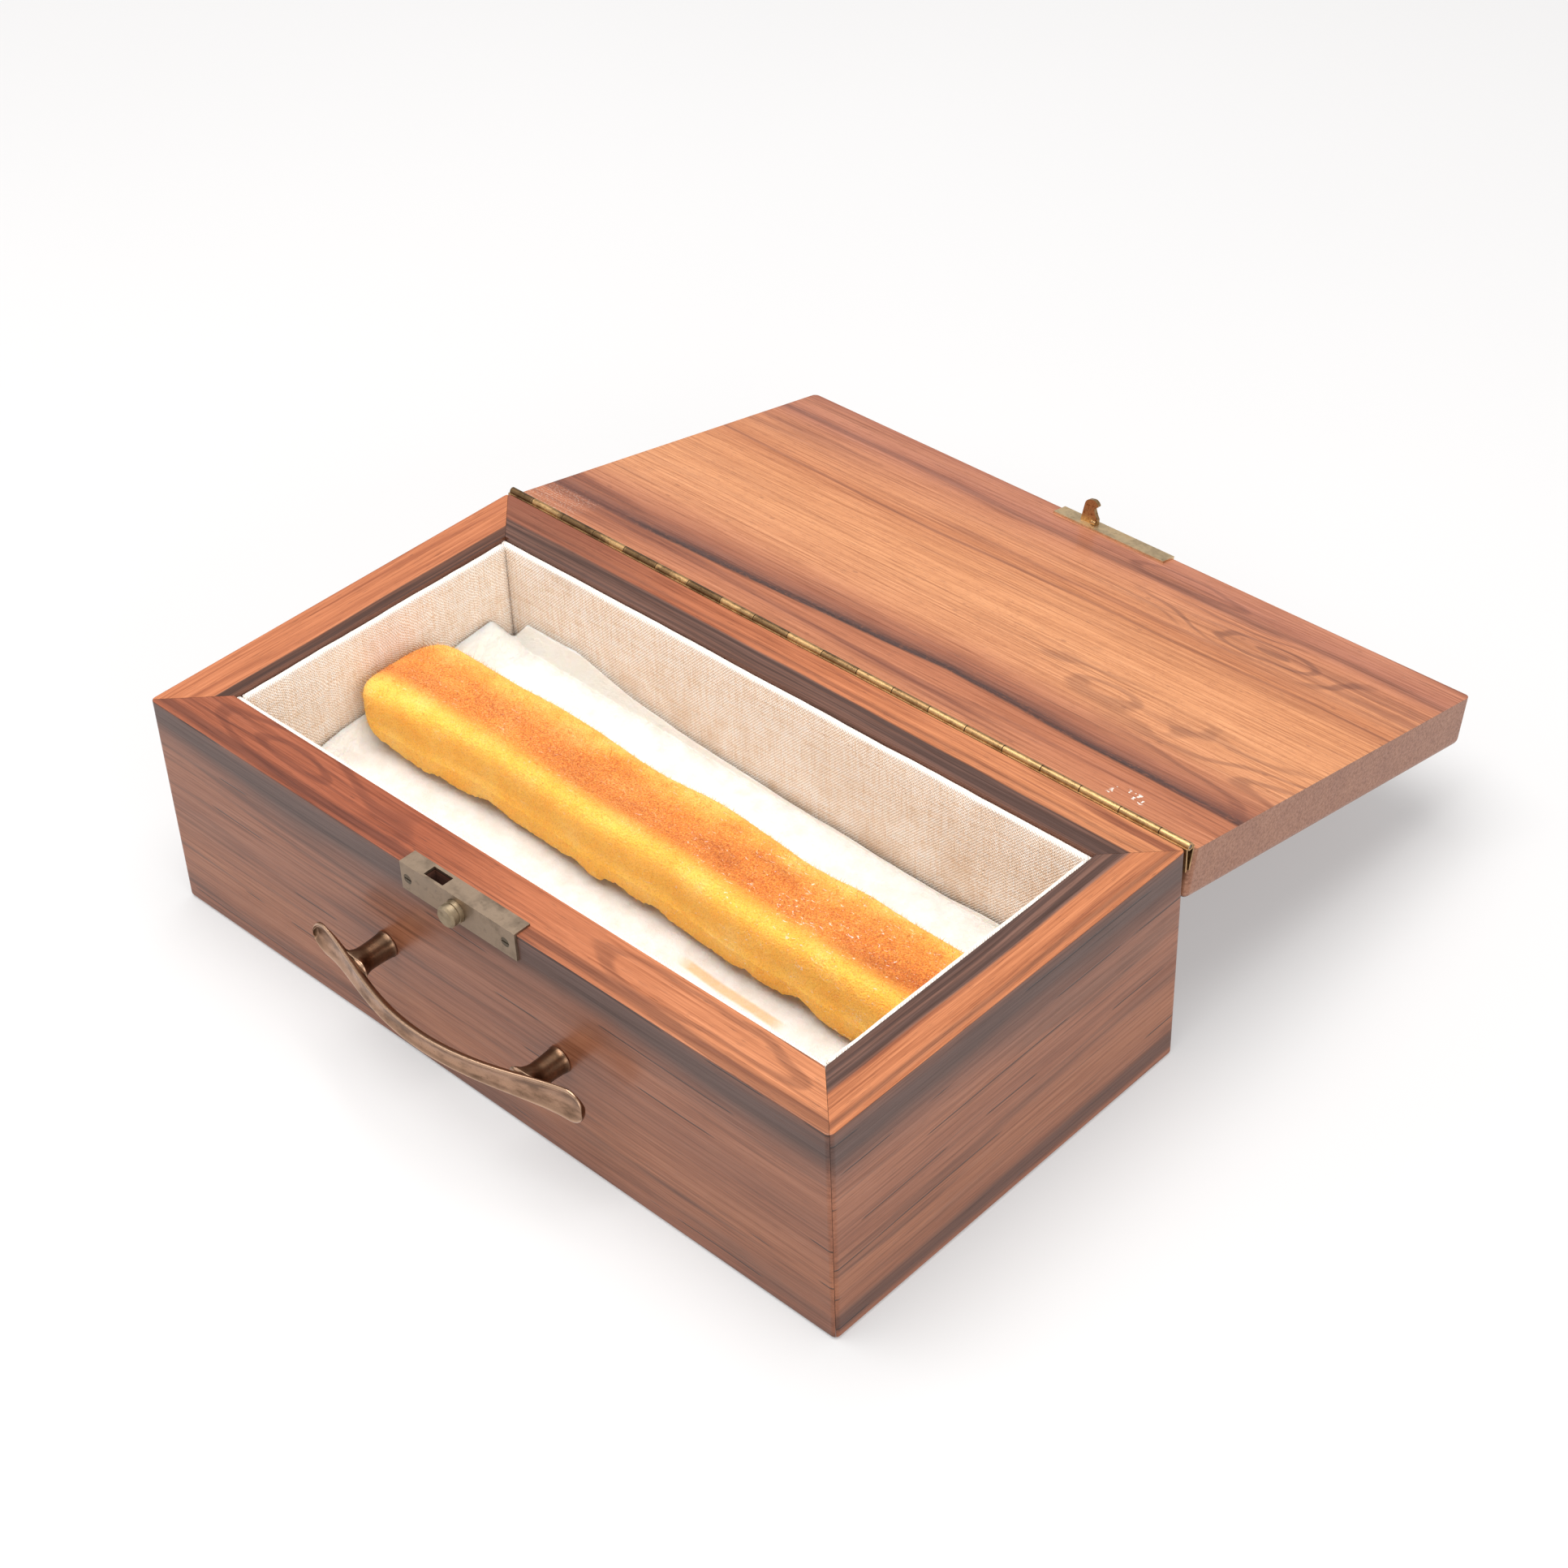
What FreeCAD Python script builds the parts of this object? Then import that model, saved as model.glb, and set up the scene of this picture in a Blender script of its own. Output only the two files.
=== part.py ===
"""Hinged rosewood needle case: mitred box, full-length pin hinge, push-button box lock, bow handle and soft filling.

Frame: origin at the centre of the box's underside, +X along the length to the right, -Y out of the front, +Z up.
Lengths are millimetres. The lid pieces are drawn shut and then turned about the hinge pin to the open stop.
"""
import FreeCAD, Part
import math
import os
import re

import Sketcher

DIMENSIONS = {
    # box and lid
    "case_length": 290.0,
    "case_depth": 154.0,
    "case_height": 81.3,
    "wall_thick": 18.7,
    "corner_round": 2.0,
    "foot_round": 1.5,
    "rim_ease": 0.4,
    "mitre_play": 0.05,
    "panel_thick": 8.5,
    "panel_rabbet": 6.0,
    "panel_play": 0.15,
    "lid_thick": 18.4,
    "lid_shift": 0.5,
    "lid_round": 3.0,
    "lid_gap": 1.6,
    "open_angle": 191.6,
    # hinge
    "pin_offset": 2.0,
    "pin_radius": 0.6,
    "pin_play": 0.08,
    "barrel_radius": 1.3,
    "knuckle_count": 20,
    "knuckle_pitch": 14.9,
    "knuckle_play": 0.12,
    "leaf_thick": 0.6,
    "leaf_height": 8.7,
    "web_width": 1.3,
    "web_height": 1.0,
    "web_play": 0.06,
    "hinge_screw_count": 6,
    "hinge_screw_pitch": 48.0,
    "hinge_screw_drop": 5.2,
    # linings and filling
    "lining_thick": 2.6,
    "lining_top": 80.7,
    "lining_play": 0.3,
    "floor_thick": 2.0,
    "pad_top_left": 38.0,
    "pad_top_right": 32.0,
    "sheet_thick": 2.6,
    "sheet_front": 50.0,
    "sheet_upstand": 13.0,
    "foam_front": 17.5,
    "foam_width": 36.5,
    "foam_height": 27.0,
    "foam_round": 11.0,
    # lock
    "plate_thick": 0.75,
    "plate_left": 25.0,
    "plate_right": 24.4,
    "plate_drop": 9.5,
    "plate_reach": 5.5,
    "slot_left": 15.2,
    "slot_right": 7.0,
    "slot_front": 76.85,
    "slot_back": 72.6,
    "mortise_right": 17.0,
    "mortise_low": 72.6,
    "mortise_high": 80.6,
    "mortise_back": 73.7,
    "tray_back": 69.4,
    "tray_low": 73.6,
    "tray_high": 79.4,
    "tray_left": 5.9,
    "tray_right": 16.5,
    "sheet_metal": 0.6,
    "lock_play": 0.2,
    "lock_axis": 76.5,
    "button_across": 1.0,
    "button_radius": 3.8,
    "button_length": 5.2,
    "button_play": 0.1,
    "button_travel": 1.3,
    "lock_screw_left": 22.2,
    "lock_screw_right": 19.8,
    # hook and strike
    "hook_thick": 1.6,
    "hook_front": 75.5,
    "hook_length": 9.5,
    "strike_half": 24.3,
    "strike_reach": 6.0,
    "strike_rise": 8.0,
    "strike_screw_half": 18.0,
    # handle
    "post_spacing": 76.0,
    "post_root_radius": 3.8,
    "post_tip_radius": 3.4,
    "post_length": 14.0,
    "handle_axis": 41.3,
    "bow_reach": 22.7,
    "bow_radius": 106.0,
    "bow_thick": 3.0,
    "bow_half_width": 3.3,
    "leaf_half_width": 5.25,
    "leaf_centre": 54.0,
    "leaf_flat": 57.0,
    "bow_join": 37.5,
    "handle_screw_radius": 2.0,
    "handle_screw_depth": 7.0,
    "handle_head_radius": 4.0,
    "handle_head_height": 2.2,
}

doc = FreeCAD.newDocument("needle_case")
sheet = doc.addObject("Spreadsheet::Sheet", "dims")
for row, (alias, number) in enumerate(DIMENSIONS.items(), start=1):
    sheet.set(f"A{row}", alias)
    sheet.set(f"B{row}", str(number))
    sheet.setAlias(f"B{row}", alias)
doc.recompute()

size = {alias: float(sheet.get(alias)) for alias in DIMENSIONS}
front_face = -size["case_depth"] / 2
back_face = size["case_depth"] / 2
finished = []


# ---- helpers -------------------------------------------------------------------------------------------------------

def linked(expression):
    """An expression with each alias written as a cell of the dimension sheet."""
    if isinstance(expression, (int, float)):
        return str(expression)
    return re.sub(r"\b([a-z]+(?:_[a-z]+)+)\b", r"dims.\1", expression)


def bind(item, **expressions):
    for name, expression in expressions.items():
        item.setExpression(name, linked(expression))


def place(item, x=0, y=0, z=0):
    for axis, expression in zip("xyz", (x, y, z)):
        item.setExpression(f"Placement.Base.{axis}", linked(expression))


def box(name, length, width, height, x, y, z):
    """A block whose lowest corner is at x, y, z."""
    item = doc.addObject("Part::Box", name)
    bind(item, Length=length, Width=width, Height=height)
    place(item, x, y, z)
    return item


def rod(name, radius, length, x, y, z, along="z"):
    """A cylinder that starts at x, y, z and runs along +X, +Y, -Y or +Z."""
    item = doc.addObject("Part::Cylinder", name)
    bind(item, Radius=radius, Height=length)
    item.Placement.Rotation = direction(along)
    place(item, x, y, z)
    return item


def cone(name, radius_start, radius_end, length, x, y, z, along="z"):
    item = doc.addObject("Part::Cone", name)
    bind(item, Radius1=radius_start, Radius2=radius_end, Height=length)
    item.Placement.Rotation = direction(along)
    place(item, x, y, z)
    return item


def direction(along):
    turns = {
        "x": FreeCAD.Rotation(FreeCAD.Vector(0, 1, 0), 90),
        "y": FreeCAD.Rotation(FreeCAD.Vector(1, 0, 0), -90),
        "-y": FreeCAD.Rotation(FreeCAD.Vector(1, 0, 0), 90),
        "z": FreeCAD.Rotation(),
    }
    return turns[along]


def joined(name, items):
    if len(items) == 1:
        return items[0]
    item = doc.addObject("Part::MultiFuse", name)
    item.Shapes = items
    return item


def cut(name, base, tools):
    item = doc.addObject("Part::Cut", name)
    item.Base = base
    item.Tool = joined(name + "_tools", tools)
    return item


def common(name, first, second):
    item = doc.addObject("Part::Common", name)
    item.Base = first
    item.Tool = second
    return item


def rounded(name, base, radius, wanted):
    """Rounds the edges of base for which wanted(edge) is true."""
    doc.recompute()
    item = doc.addObject("Part::Fillet", name)
    item.Base = base
    chosen = [number for number, edge in enumerate(base.Shape.Edges, start=1) if wanted(edge)]
    item.Edges = [(number, size[radius], size[radius]) for number in chosen]
    return item


def profile(name, curves, plane, length, x=0, y=0, z=0):
    """A closed outline of curves, drawn in the XY or XZ plane and extruded along its normal (+Z or +Y)."""
    outline = doc.addObject("Sketcher::SketchObject", name + "_outline")
    if plane == "xz":
        outline.Placement.Rotation = FreeCAD.Rotation(FreeCAD.Vector(1, 0, 0), 90)
    for curve in curves:
        outline.addGeometry(curve)
    item = doc.addObject("Part::Extrusion", name)
    item.Base = outline
    item.DirMode = "Custom"
    item.Dir = FreeCAD.Vector(0, 0, 1) if plane == "xy" else FreeCAD.Vector(0, 1, 0)
    item.Solid = True
    bind(item, LengthFwd=length)
    place(item, x, y, z)
    return item


def polygon(points):
    corners = [FreeCAD.Vector(x, y, 0) for x, y in points]
    return [Part.LineSegment(a, b) for a, b in zip(corners, corners[1:] + corners[:1])]


def arc(*points):
    return Part.Arc(*(FreeCAD.Vector(x, y, 0) for x, y in points))


def body_with_pad(name, plane_role, corners, length, reverse=False):
    """A PartDesign body: one rectangle, its edges held by bound distances, padded by a bound length."""
    body = doc.addObject("PartDesign::Body", name)
    sketch = body.newObject("Sketcher::SketchObject", name + "_sketch")
    plane = next(item for item in body.Origin.OriginFeatures if item.Role == plane_role)
    sketch.AttachmentSupport = [(plane, "")]
    sketch.MapMode = "FlatFace"
    rectangle(sketch, corners)
    pad = body.newObject("PartDesign::Pad", name + "_pad")
    pad.Profile = sketch
    pad.Reversed = reverse
    bind(pad, Length=length)
    return body


def rectangle(sketch, corners):
    """A rectangle between two corners, given as bound distances from the sketch's origin."""
    low_x, low_y, high_x, high_y = corners
    start = [(-10, -10), (10, -10), (10, 10), (-10, 10)]
    sketch.addGeometry(polygon(start))
    for number in range(4):
        sketch.addConstraint(Sketcher.Constraint("Coincident", number, 2, (number + 1) % 4, 1))
    for number, kind in enumerate(("Horizontal", "Vertical", "Horizontal", "Vertical")):
        sketch.addConstraint(Sketcher.Constraint(kind, number))
    limits = (("DistanceX", 0, low_x), ("DistanceY", 0, low_y), ("DistanceX", 2, high_x), ("DistanceY", 2, high_y))
    for kind, line, expression in limits:
        held = -10.0 if line == 0 else 10.0
        index = sketch.addConstraint(Sketcher.Constraint(kind, -1, 1, line, 1, held))
        sketch.setExpression(f"Constraints[{index}]", linked(expression))


def revolved_body(name, points, turn_axis="V_Axis"):
    """A PartDesign body: a half profile in the XY plane, turned about the sketch's vertical axis."""
    body = doc.addObject("PartDesign::Body", name)
    sketch = body.newObject("Sketcher::SketchObject", name + "_sketch")
    plane = next(item for item in body.Origin.OriginFeatures if item.Role == "XY_Plane")
    sketch.AttachmentSupport = [(plane, "")]
    sketch.MapMode = "FlatFace"
    sketch.addGeometry(polygon(points))
    turned = body.newObject("PartDesign::Revolution", name + "_turned")
    turned.Profile = sketch
    turned.ReferenceAxis = (sketch, [turn_axis])
    turned.Angle = 360
    return body


def finish(item, label):
    item.Label = label
    finished.append(item)
    return item


def finish_on_lid(item, label):
    """Turns a piece that was drawn with the lid shut to the open stop."""
    pin = FreeCAD.Vector(0, back_face + size["pin_offset"], size["case_height"])
    turn = FreeCAD.Rotation(FreeCAD.Vector(1, 0, 0), -size["open_angle"])
    opened = FreeCAD.Placement(FreeCAD.Vector(), turn, pin)
    item.Placement = opened.multiply(item.Placement)
    return finish(item, label)


def vertical_at_corner(edge, half_x, half_y):
    start, end = edge.firstVertex().Point, edge.lastVertex().Point
    upright = abs(start.x - end.x) < 0.01 and abs(start.y - end.y) < 0.01
    return upright and abs(abs(start.x) - half_x) < 0.01 and abs(abs(start.y) - half_y) < 0.01


def level_at(edge, height, half_x, half_y):
    """True for the edges of the rectangle half_x, half_y at one height, its rounded corners included."""
    box_of = edge.BoundBox
    level = abs(box_of.ZMin - height) < 0.01 and abs(box_of.ZMax - height) < 0.01
    reach = max(abs(box_of.XMin), abs(box_of.XMax)) - half_x, max(abs(box_of.YMin), abs(box_of.YMax)) - half_y
    return level and (abs(reach[0]) < 0.01 or abs(reach[1]) < 0.01)


# ---- mitred walls and bottom ---------------------------------------------------------------------------------------

def make_ring():
    """The box's frame in one piece: outer block, hollow inside, rabbet below for the bottom panel."""
    half_x, half_y = size["case_length"] / 2, size["case_depth"] / 2
    block = box("ring_block", "case_length", "case_depth", "case_height", "-case_length / 2", "-case_depth / 2", 0)
    upright = rounded("ring_upright", block, "corner_round", lambda e: vertical_at_corner(e, half_x, half_y))
    footed = rounded("ring_footed", upright, "foot_round", lambda e: level_at(e, 0, half_x, half_y))
    rimmed = rounded("ring_rimmed", footed, "rim_ease", lambda e: level_at(e, size["case_height"], half_x, half_y))
    hollow = box("ring_hollow", "case_length - 2 * wall_thick", "case_depth - 2 * wall_thick", "case_height + 2",
                 "wall_thick - case_length / 2", "wall_thick - case_depth / 2", -1)
    rabbet = box("ring_rabbet", "case_length - 2 * wall_thick + 2 * panel_rabbet",
                 "case_depth - 2 * wall_thick + 2 * panel_rabbet", "panel_thick + panel_play + 1",
                 "wall_thick - panel_rabbet - case_length / 2", "wall_thick - panel_rabbet - case_depth / 2", -1)
    return cut("ring", rimmed, [hollow, rabbet])


def mitre_wedge(name, side):
    """The trapezium of the plan that one wall takes: its long side outside, its ends on the mitres."""
    reach = 5.0
    outer_x, outer_y = size["case_length"] / 2 + reach, size["case_depth"] / 2 + reach
    depth = size["wall_thick"] + 2 * reach
    play = size["mitre_play"] * math.sqrt(2)
    if side in ("front", "back"):
        sign = -1 if side == "front" else 1
        points = [(-outer_x + play, sign * outer_y), (outer_x - play, sign * outer_y),
                  (outer_x - depth - play, sign * (outer_y - depth)), (-outer_x + depth + play, sign * (outer_y - depth))]
    else:
        sign = -1 if side == "left" else 1
        points = [(sign * outer_x, -outer_y + play), (sign * outer_x, outer_y - play),
                  (sign * (outer_x - depth), outer_y - depth - play), (sign * (outer_x - depth), -outer_y + depth + play)]
    return profile(name, polygon(points), "xy", "case_height + 2", 0, 0, -1)


def front_wall_cuts():
    """The lock's mortise, the hook's slot, pilot holes, and the handle's screw holes with their counterbores."""
    front = "-case_depth / 2"
    tools = [
        box("mortise", "slot_left + mortise_right", "case_depth / 2 - mortise_back + 1", "mortise_high - mortise_low",
            "-slot_left", front + " - 1", "mortise_low"),
        box("mortise_tray", "tray_left + mortise_right + lock_play", "mortise_back - tray_back + lock_play",
            "tray_high - tray_low + 2 * lock_play", "-tray_left - lock_play", "-mortise_back",
            "tray_low - lock_play"),
        box("mortise_slot", "slot_left - slot_right", "slot_front - slot_back", "case_height - mortise_low + 1",
            "-slot_left", "-slot_front", "mortise_low"),
    ]
    for tag, across in (("left", "-lock_screw_left"), ("right", "lock_screw_right")):
        tools.append(rod("pilot_" + tag, 1.0, 9.0, across, front, "lock_axis", "y"))
    for tag, sign in (("left", "-"), ("right", "")):
        across = sign + "post_spacing / 2"
        tools.append(rod("bolt_hole_" + tag, "handle_screw_radius + 0.15", "wall_thick + 2", across,
                         front + " - 1", "handle_axis", "y"))
        tools.append(rod("bolt_sink_" + tag, "handle_head_radius + 0.3", "handle_head_height + 1.3", across,
                         front + " + wall_thick - handle_head_height - 0.3", "handle_axis", "y"))
    return tools


def hinge_screw_places():
    count = int(size["hinge_screw_count"])
    return [(number - (count - 1) / 2) * size["hinge_screw_pitch"] for number in range(count)]


def make_walls():
    for side in ("front", "back", "left", "right"):
        wall = common(side + "_mitred", make_ring_copy(side), mitre_wedge(side + "_wedge", side))
        if side == "front":
            wall = cut("front_machined", wall, front_wall_cuts())
        if side == "back":
            pilots = [rod(f"back_pilot_{number}", 0.95, 9.0, across, "case_depth / 2 - 9",
                          "case_height - hinge_screw_drop", "y")
                      for number, across in enumerate(hinge_screw_places())]
            wall = cut("back_machined", wall, pilots)
        finish(wall, side + "_wall")


def make_ring_copy(side):
    """Each wall is cut from the same ring, so the ring's features are made once and linked here."""
    item = doc.addObject("Part::Refine", side + "_ring")
    item.Source = ring
    return item


def make_bottom_panel():
    reach = "{0} / 2 - wall_thick + panel_rabbet - panel_play"
    half_x, half_y = reach.format("case_length"), reach.format("case_depth")
    corners = (f"-({half_x})", f"-({half_y})", half_x, half_y)
    finish(body_with_pad("bottom_body", "XY_Plane", corners, "panel_thick"), "bottom_panel")


ring = make_ring()
make_walls()
make_bottom_panel()


# ---- linings and filling -------------------------------------------------------------------------------------------

INSIDE_X = "(case_length / 2 - wall_thick)"
INSIDE_Y = "(case_depth / 2 - wall_thick)"


def make_linings():
    """Fabric-covered card: long panels front and back, short ones between them, and one on the floor."""
    base = "panel_thick + floor_thick + lining_play"
    height = f"lining_top - ({base})"
    long_run = f"2 * {INSIDE_X} - 2 * lining_play"
    short_run = f"2 * {INSIDE_Y} - 2 * lining_thick - 2 * lining_play"
    short_start = f"-{INSIDE_Y} + lining_thick + lining_play"
    places = {
        "front": (long_run, "lining_thick", f"-{INSIDE_X} + lining_play", f"-{INSIDE_Y}"),
        "back": (long_run, "lining_thick", f"-{INSIDE_X} + lining_play", f"{INSIDE_Y} - lining_thick"),
        "left": ("lining_thick", short_run, f"-{INSIDE_X}", short_start),
        "right": ("lining_thick", short_run, f"{INSIDE_X} - lining_thick", short_start),
    }
    for side, (length, width, x, y) in places.items():
        finish(box("lining_" + side, length, width, height, x, y, base), "lining_" + side)
    floor = box("floor_card", long_run, f"2 * {INSIDE_Y} - 2 * lining_play", "floor_thick",
                f"-{INSIDE_X} + lining_play", f"-{INSIDE_Y} + lining_play", "panel_thick")
    finish(floor, "floor_lining")


def soft_limits():
    """Half length and half depth of the space inside the linings, with play all round."""
    play = size["lining_thick"] + size["lining_play"]
    return (size["case_length"] / 2 - size["wall_thick"] - play, size["case_depth"] / 2 - size["wall_thick"] - play)


def filling_height(x, above_pad=0.0):
    """Height of the pad's sloping top at x, plus an amount above it."""
    half_x = soft_limits()[0]
    share = (x + half_x) / (2 * half_x)
    return size["pad_top_left"] + share * (size["pad_top_right"] - size["pad_top_left"]) + above_pad


def sloped_slab(name, low, high, start_x, end_x, start_y, depth):
    """A slab that follows the pad's slope, from low to high above it (low None: down to the floor lining)."""
    floor = size["panel_thick"] + size["floor_thick"] + size["lining_play"]
    under = [(start_x, floor), (end_x, floor)] if low is None else [
        (start_x, filling_height(start_x, low)), (end_x, filling_height(end_x, low))]
    over = [(end_x, filling_height(end_x, high)), (start_x, filling_height(start_x, high))]
    return profile(name, polygon(under + over), "xz", depth, 0, start_y, 0)


def make_filling():
    """A pad under a cotton sheet that turns up at the back and left, and the foam strip that lies on it."""
    half_x, half_y = soft_limits()
    play = size["lining_play"]
    finish(sloped_slab("pad", None, 0.0, -half_x, half_x, -half_y, 2 * half_y), "underlay_pad")

    thick, front = size["sheet_thick"], size["sheet_front"]
    low, high, top = play, play + thick, play + thick + size["sheet_upstand"]
    flat = sloped_slab("sheet_flat", low, high, -half_x, half_x, -front, front + half_y)
    back = sloped_slab("sheet_back", low, top, -half_x, half_x, half_y - thick, thick)
    left = sloped_slab("sheet_left", low, top, -half_x, -half_x + thick, -front, front + half_y)
    finish(joined("sheet", [flat, back, left]), "cotton_sheet")

    foam_low = high + play
    foam_start = -half_x + thick + play
    block = sloped_slab("foam_block", foam_low, foam_low + size["foam_height"], foam_start, half_x,
                        -size["foam_front"], size["foam_width"])
    doc.recompute()
    crown = block.Shape.BoundBox.ZMax - size["foam_height"] / 2

    def is_top_long_edge(edge):
        box_of = edge.BoundBox
        return box_of.XLength > half_x and box_of.ZMax > crown

    finish(rounded("foam", block, "foam_round", is_top_long_edge), "foam_strip")


make_linings()
make_filling()


# ---- lock ----------------------------------------------------------------------------------------------------------

def make_lock_plate():
    """Angle plate over the rim and the front face, with the hook's slot, the button's hole and two screw holes."""
    wide = "plate_left + plate_right"
    front = "-case_depth / 2"
    top = box("plate_top", wide, "plate_reach + plate_thick", "plate_thick", "-plate_left",
              front + " - plate_thick", "case_height")
    face = box("plate_face", wide, "plate_thick", "plate_drop + plate_thick", "-plate_left",
               front + " - plate_thick", "case_height - plate_drop")
    holes = [
        box("plate_slot", "slot_left - slot_right", "slot_front - slot_back", "plate_thick + 2",
            "-slot_left", "-slot_front", "case_height - 1"),
        rod("plate_button_hole", "button_radius + button_play", "plate_thick + 2", "-button_across",
            front + " - plate_thick - 1", "lock_axis", "y"),
    ]
    for tag, across in (("left", "-lock_screw_left"), ("right", "lock_screw_right")):
        holes.append(cone("plate_sink_" + tag, 1.75, 1.15, "plate_thick + 0.02", across,
                          front + " - plate_thick - 0.01", "lock_axis", "y"))
    finish(cut("plate", joined("plate_angle", [top, face]), holes), "lock_plate")


def make_lock_case():
    """Sheet tray behind the catch, open to the front, with a folded tab that seats the spring."""
    depth = "mortise_back - tray_back"
    tray = box("tray_block", "tray_left + tray_right", depth, "tray_high - tray_low", "-tray_left",
               "-mortise_back", "tray_low")
    inside = box("tray_inside", "tray_left + tray_right - 2 * sheet_metal", depth,
                 "tray_high - tray_low - 2 * sheet_metal", "-tray_left + sheet_metal",
                 "-mortise_back - sheet_metal", "tray_low + sheet_metal")
    tab = box("tray_tab", "sheet_metal", 3.0, 3.0, "tray_right - sheet_metal", "-mortise_back - 2.4",
              "lock_axis - 1.5")
    finish(joined("tray", [cut("tray_shell", tray, [inside]), tab]), "lock_case")


CATCH_TIP = -8.8
CATCH_END = 12.4
RIVETS = (5.6, 10.0)


def make_catch():
    """Sliding catch: a nose for the hook's notch, a sloped window for the button's wedge, slots for the rivets."""
    outline = [(CATCH_TIP, 76.2), (-6.4, 76.2), (-6.4, 74.2), (CATCH_END, 74.2), (CATCH_END, 78.8),
               (-6.4, 78.8), (-6.4, 77.0), (-8.2, 77.0), (CATCH_TIP, 76.7)]
    plate = profile("catch_plate", polygon(outline), "xz", "hook_thick", 0, "-hook_front", 0)
    rear = -size["hook_front"] + size["hook_thick"]
    contact = WEDGE_SUM + size["lock_play"]
    window = [(-3.9, rear + 1), (contact - rear - 1, rear + 1), (contact - rear + 3.0, rear - 3.0), (-3.9, rear - 3.0)]
    tools = [profile("catch_window", polygon(window), "xy", 2.8, 0, 0, size["lock_axis"] - 1.4)]
    travel = size["button_travel"]
    for number, x in enumerate(RIVETS):
        tools.append(box(f"catch_slot_{number}", travel + 1.8, 4.0, 1.8, x - travel - 0.9, "-hook_front - 1",
                         "lock_axis - 0.9"))
    finish(cut("catch", plate, tools), "catch_slide")


WEDGE_SUM = -74.1


def make_button():
    """Stepped button: a rear band, a groove, a bevelled cap, and the wedge behind that moves the catch."""
    radius, length = size["button_radius"], size["button_length"]
    half = [(0, 0), (radius, 0), (radius, 2.3), (radius - 0.35, 2.45), (radius - 0.35, 2.75),
            (radius - 0.1, 2.9), (radius - 0.1, length - 0.7), (radius - 0.7, length), (0, length)]
    cap = revolved_body("button_cap", half)
    cap.Placement = FreeCAD.Placement(
        FreeCAD.Vector(-size["button_across"], front_face, size["lock_axis"]),
        FreeCAD.Rotation(FreeCAD.Vector(0, 0, 1), 180))
    wedge = [(-2.2, front_face - 0.5), (1.6, front_face - 0.5), (1.6, WEDGE_SUM - 1.6), (-0.9, WEDGE_SUM + 0.9),
             (-2.2, WEDGE_SUM + 0.9)]
    stem = profile("button_wedge", polygon(wedge), "xy", 2.4, 0, 0, size["lock_axis"] - 1.2)
    finish(joined("button", [cap, stem]), "push_button")


def make_guide_rivets():
    """Two rivets that join the plate to the tray and guide the catch's slots."""
    rivets = [rod(f"rivet_{number}", 0.7, "case_depth / 2 - mortise_back", x, "-case_depth / 2", "lock_axis", "y")
              for number, x in enumerate(RIVETS)]
    feet = [box(f"rivet_foot_{number}", 1.4, "mortise_back - tray_back - sheet_metal", 1.4, x - 0.7,
                "-mortise_back", "lock_axis - 0.7") for number, x in enumerate(RIVETS)]
    pairs = [joined(f"rivet_pair_{number}", list(pair)) for number, pair in enumerate(zip(rivets, feet))]
    group = doc.addObject("Part::Compound", "rivets")
    group.Links = pairs
    finish(group, "guide_rivets")


def make_catch_spring():
    """Small coil between the catch's end and the tray's tab."""
    turns, wire, coil = 4, 0.17, 0.7
    start = CATCH_END + 0.2
    run = size["tray_right"] - size["sheet_metal"] - 0.2 - start
    helix = Part.makeHelix(run / turns, run, coil)
    first = FreeCAD.Vector(coil, 0, 0)
    tangent = FreeCAD.Vector(0, 2 * math.pi * coil, run / turns)
    section = Part.Wire(Part.makeCircle(wire, first, tangent))
    spring = doc.addObject("Part::Feature", "spring")
    spring.Shape = Part.Wire(helix).makePipeShell([section], True, True)
    spring.Placement = FreeCAD.Placement(
        FreeCAD.Vector(start, -size["hook_front"] + size["hook_thick"] / 2, size["lock_axis"]), direction("x"))
    finish(spring, "catch_spring")


def screw(name, head_radius, head_height, shank_radius, shank_length, slot_width, x, y, z, along):
    """Countersunk slotted screw: its head's face is at x, y, z and its point runs along the given way."""
    sign = 1 if along == "y" else -1
    head = cone(name + "_head", head_radius, shank_radius, head_height, x, y, z, along)
    shank = rod(name + "_shank", shank_radius, shank_length, x, y + sign * head_height, z, along)
    slot_y = y - 0.01 if sign > 0 else y + 0.01 - head_height * 0.4
    slot = box(name + "_slot", 2 * head_radius + 0.2, head_height * 0.4, slot_width,
               x - head_radius - 0.1, slot_y, z - slot_width / 2)
    return cut(name, joined(name + "_blank", [head, shank]), [slot])


def group_of(name, items, label, on_lid=False):
    group = doc.addObject("Part::Compound", name)
    group.Links = items
    return finish_on_lid(group, label) if on_lid else finish(group, label)


def make_lock_screws():
    face = front_face - size["plate_thick"]
    places = (-size["lock_screw_left"], size["lock_screw_right"])
    screws = [screw(f"lock_screw_{number}", 1.65, 0.7, 0.95, 8.5, 0.45, x, face + 0.05, size["lock_axis"], "y")
              for number, x in enumerate(places)]
    group_of("lock_screw_pair", screws, "lock_screws")


make_lock_plate()
make_lock_case()
make_catch()
make_button()
make_guide_rivets()
make_catch_spring()
make_lock_screws()


# ---- handle --------------------------------------------------------------------------------------------------------

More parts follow.
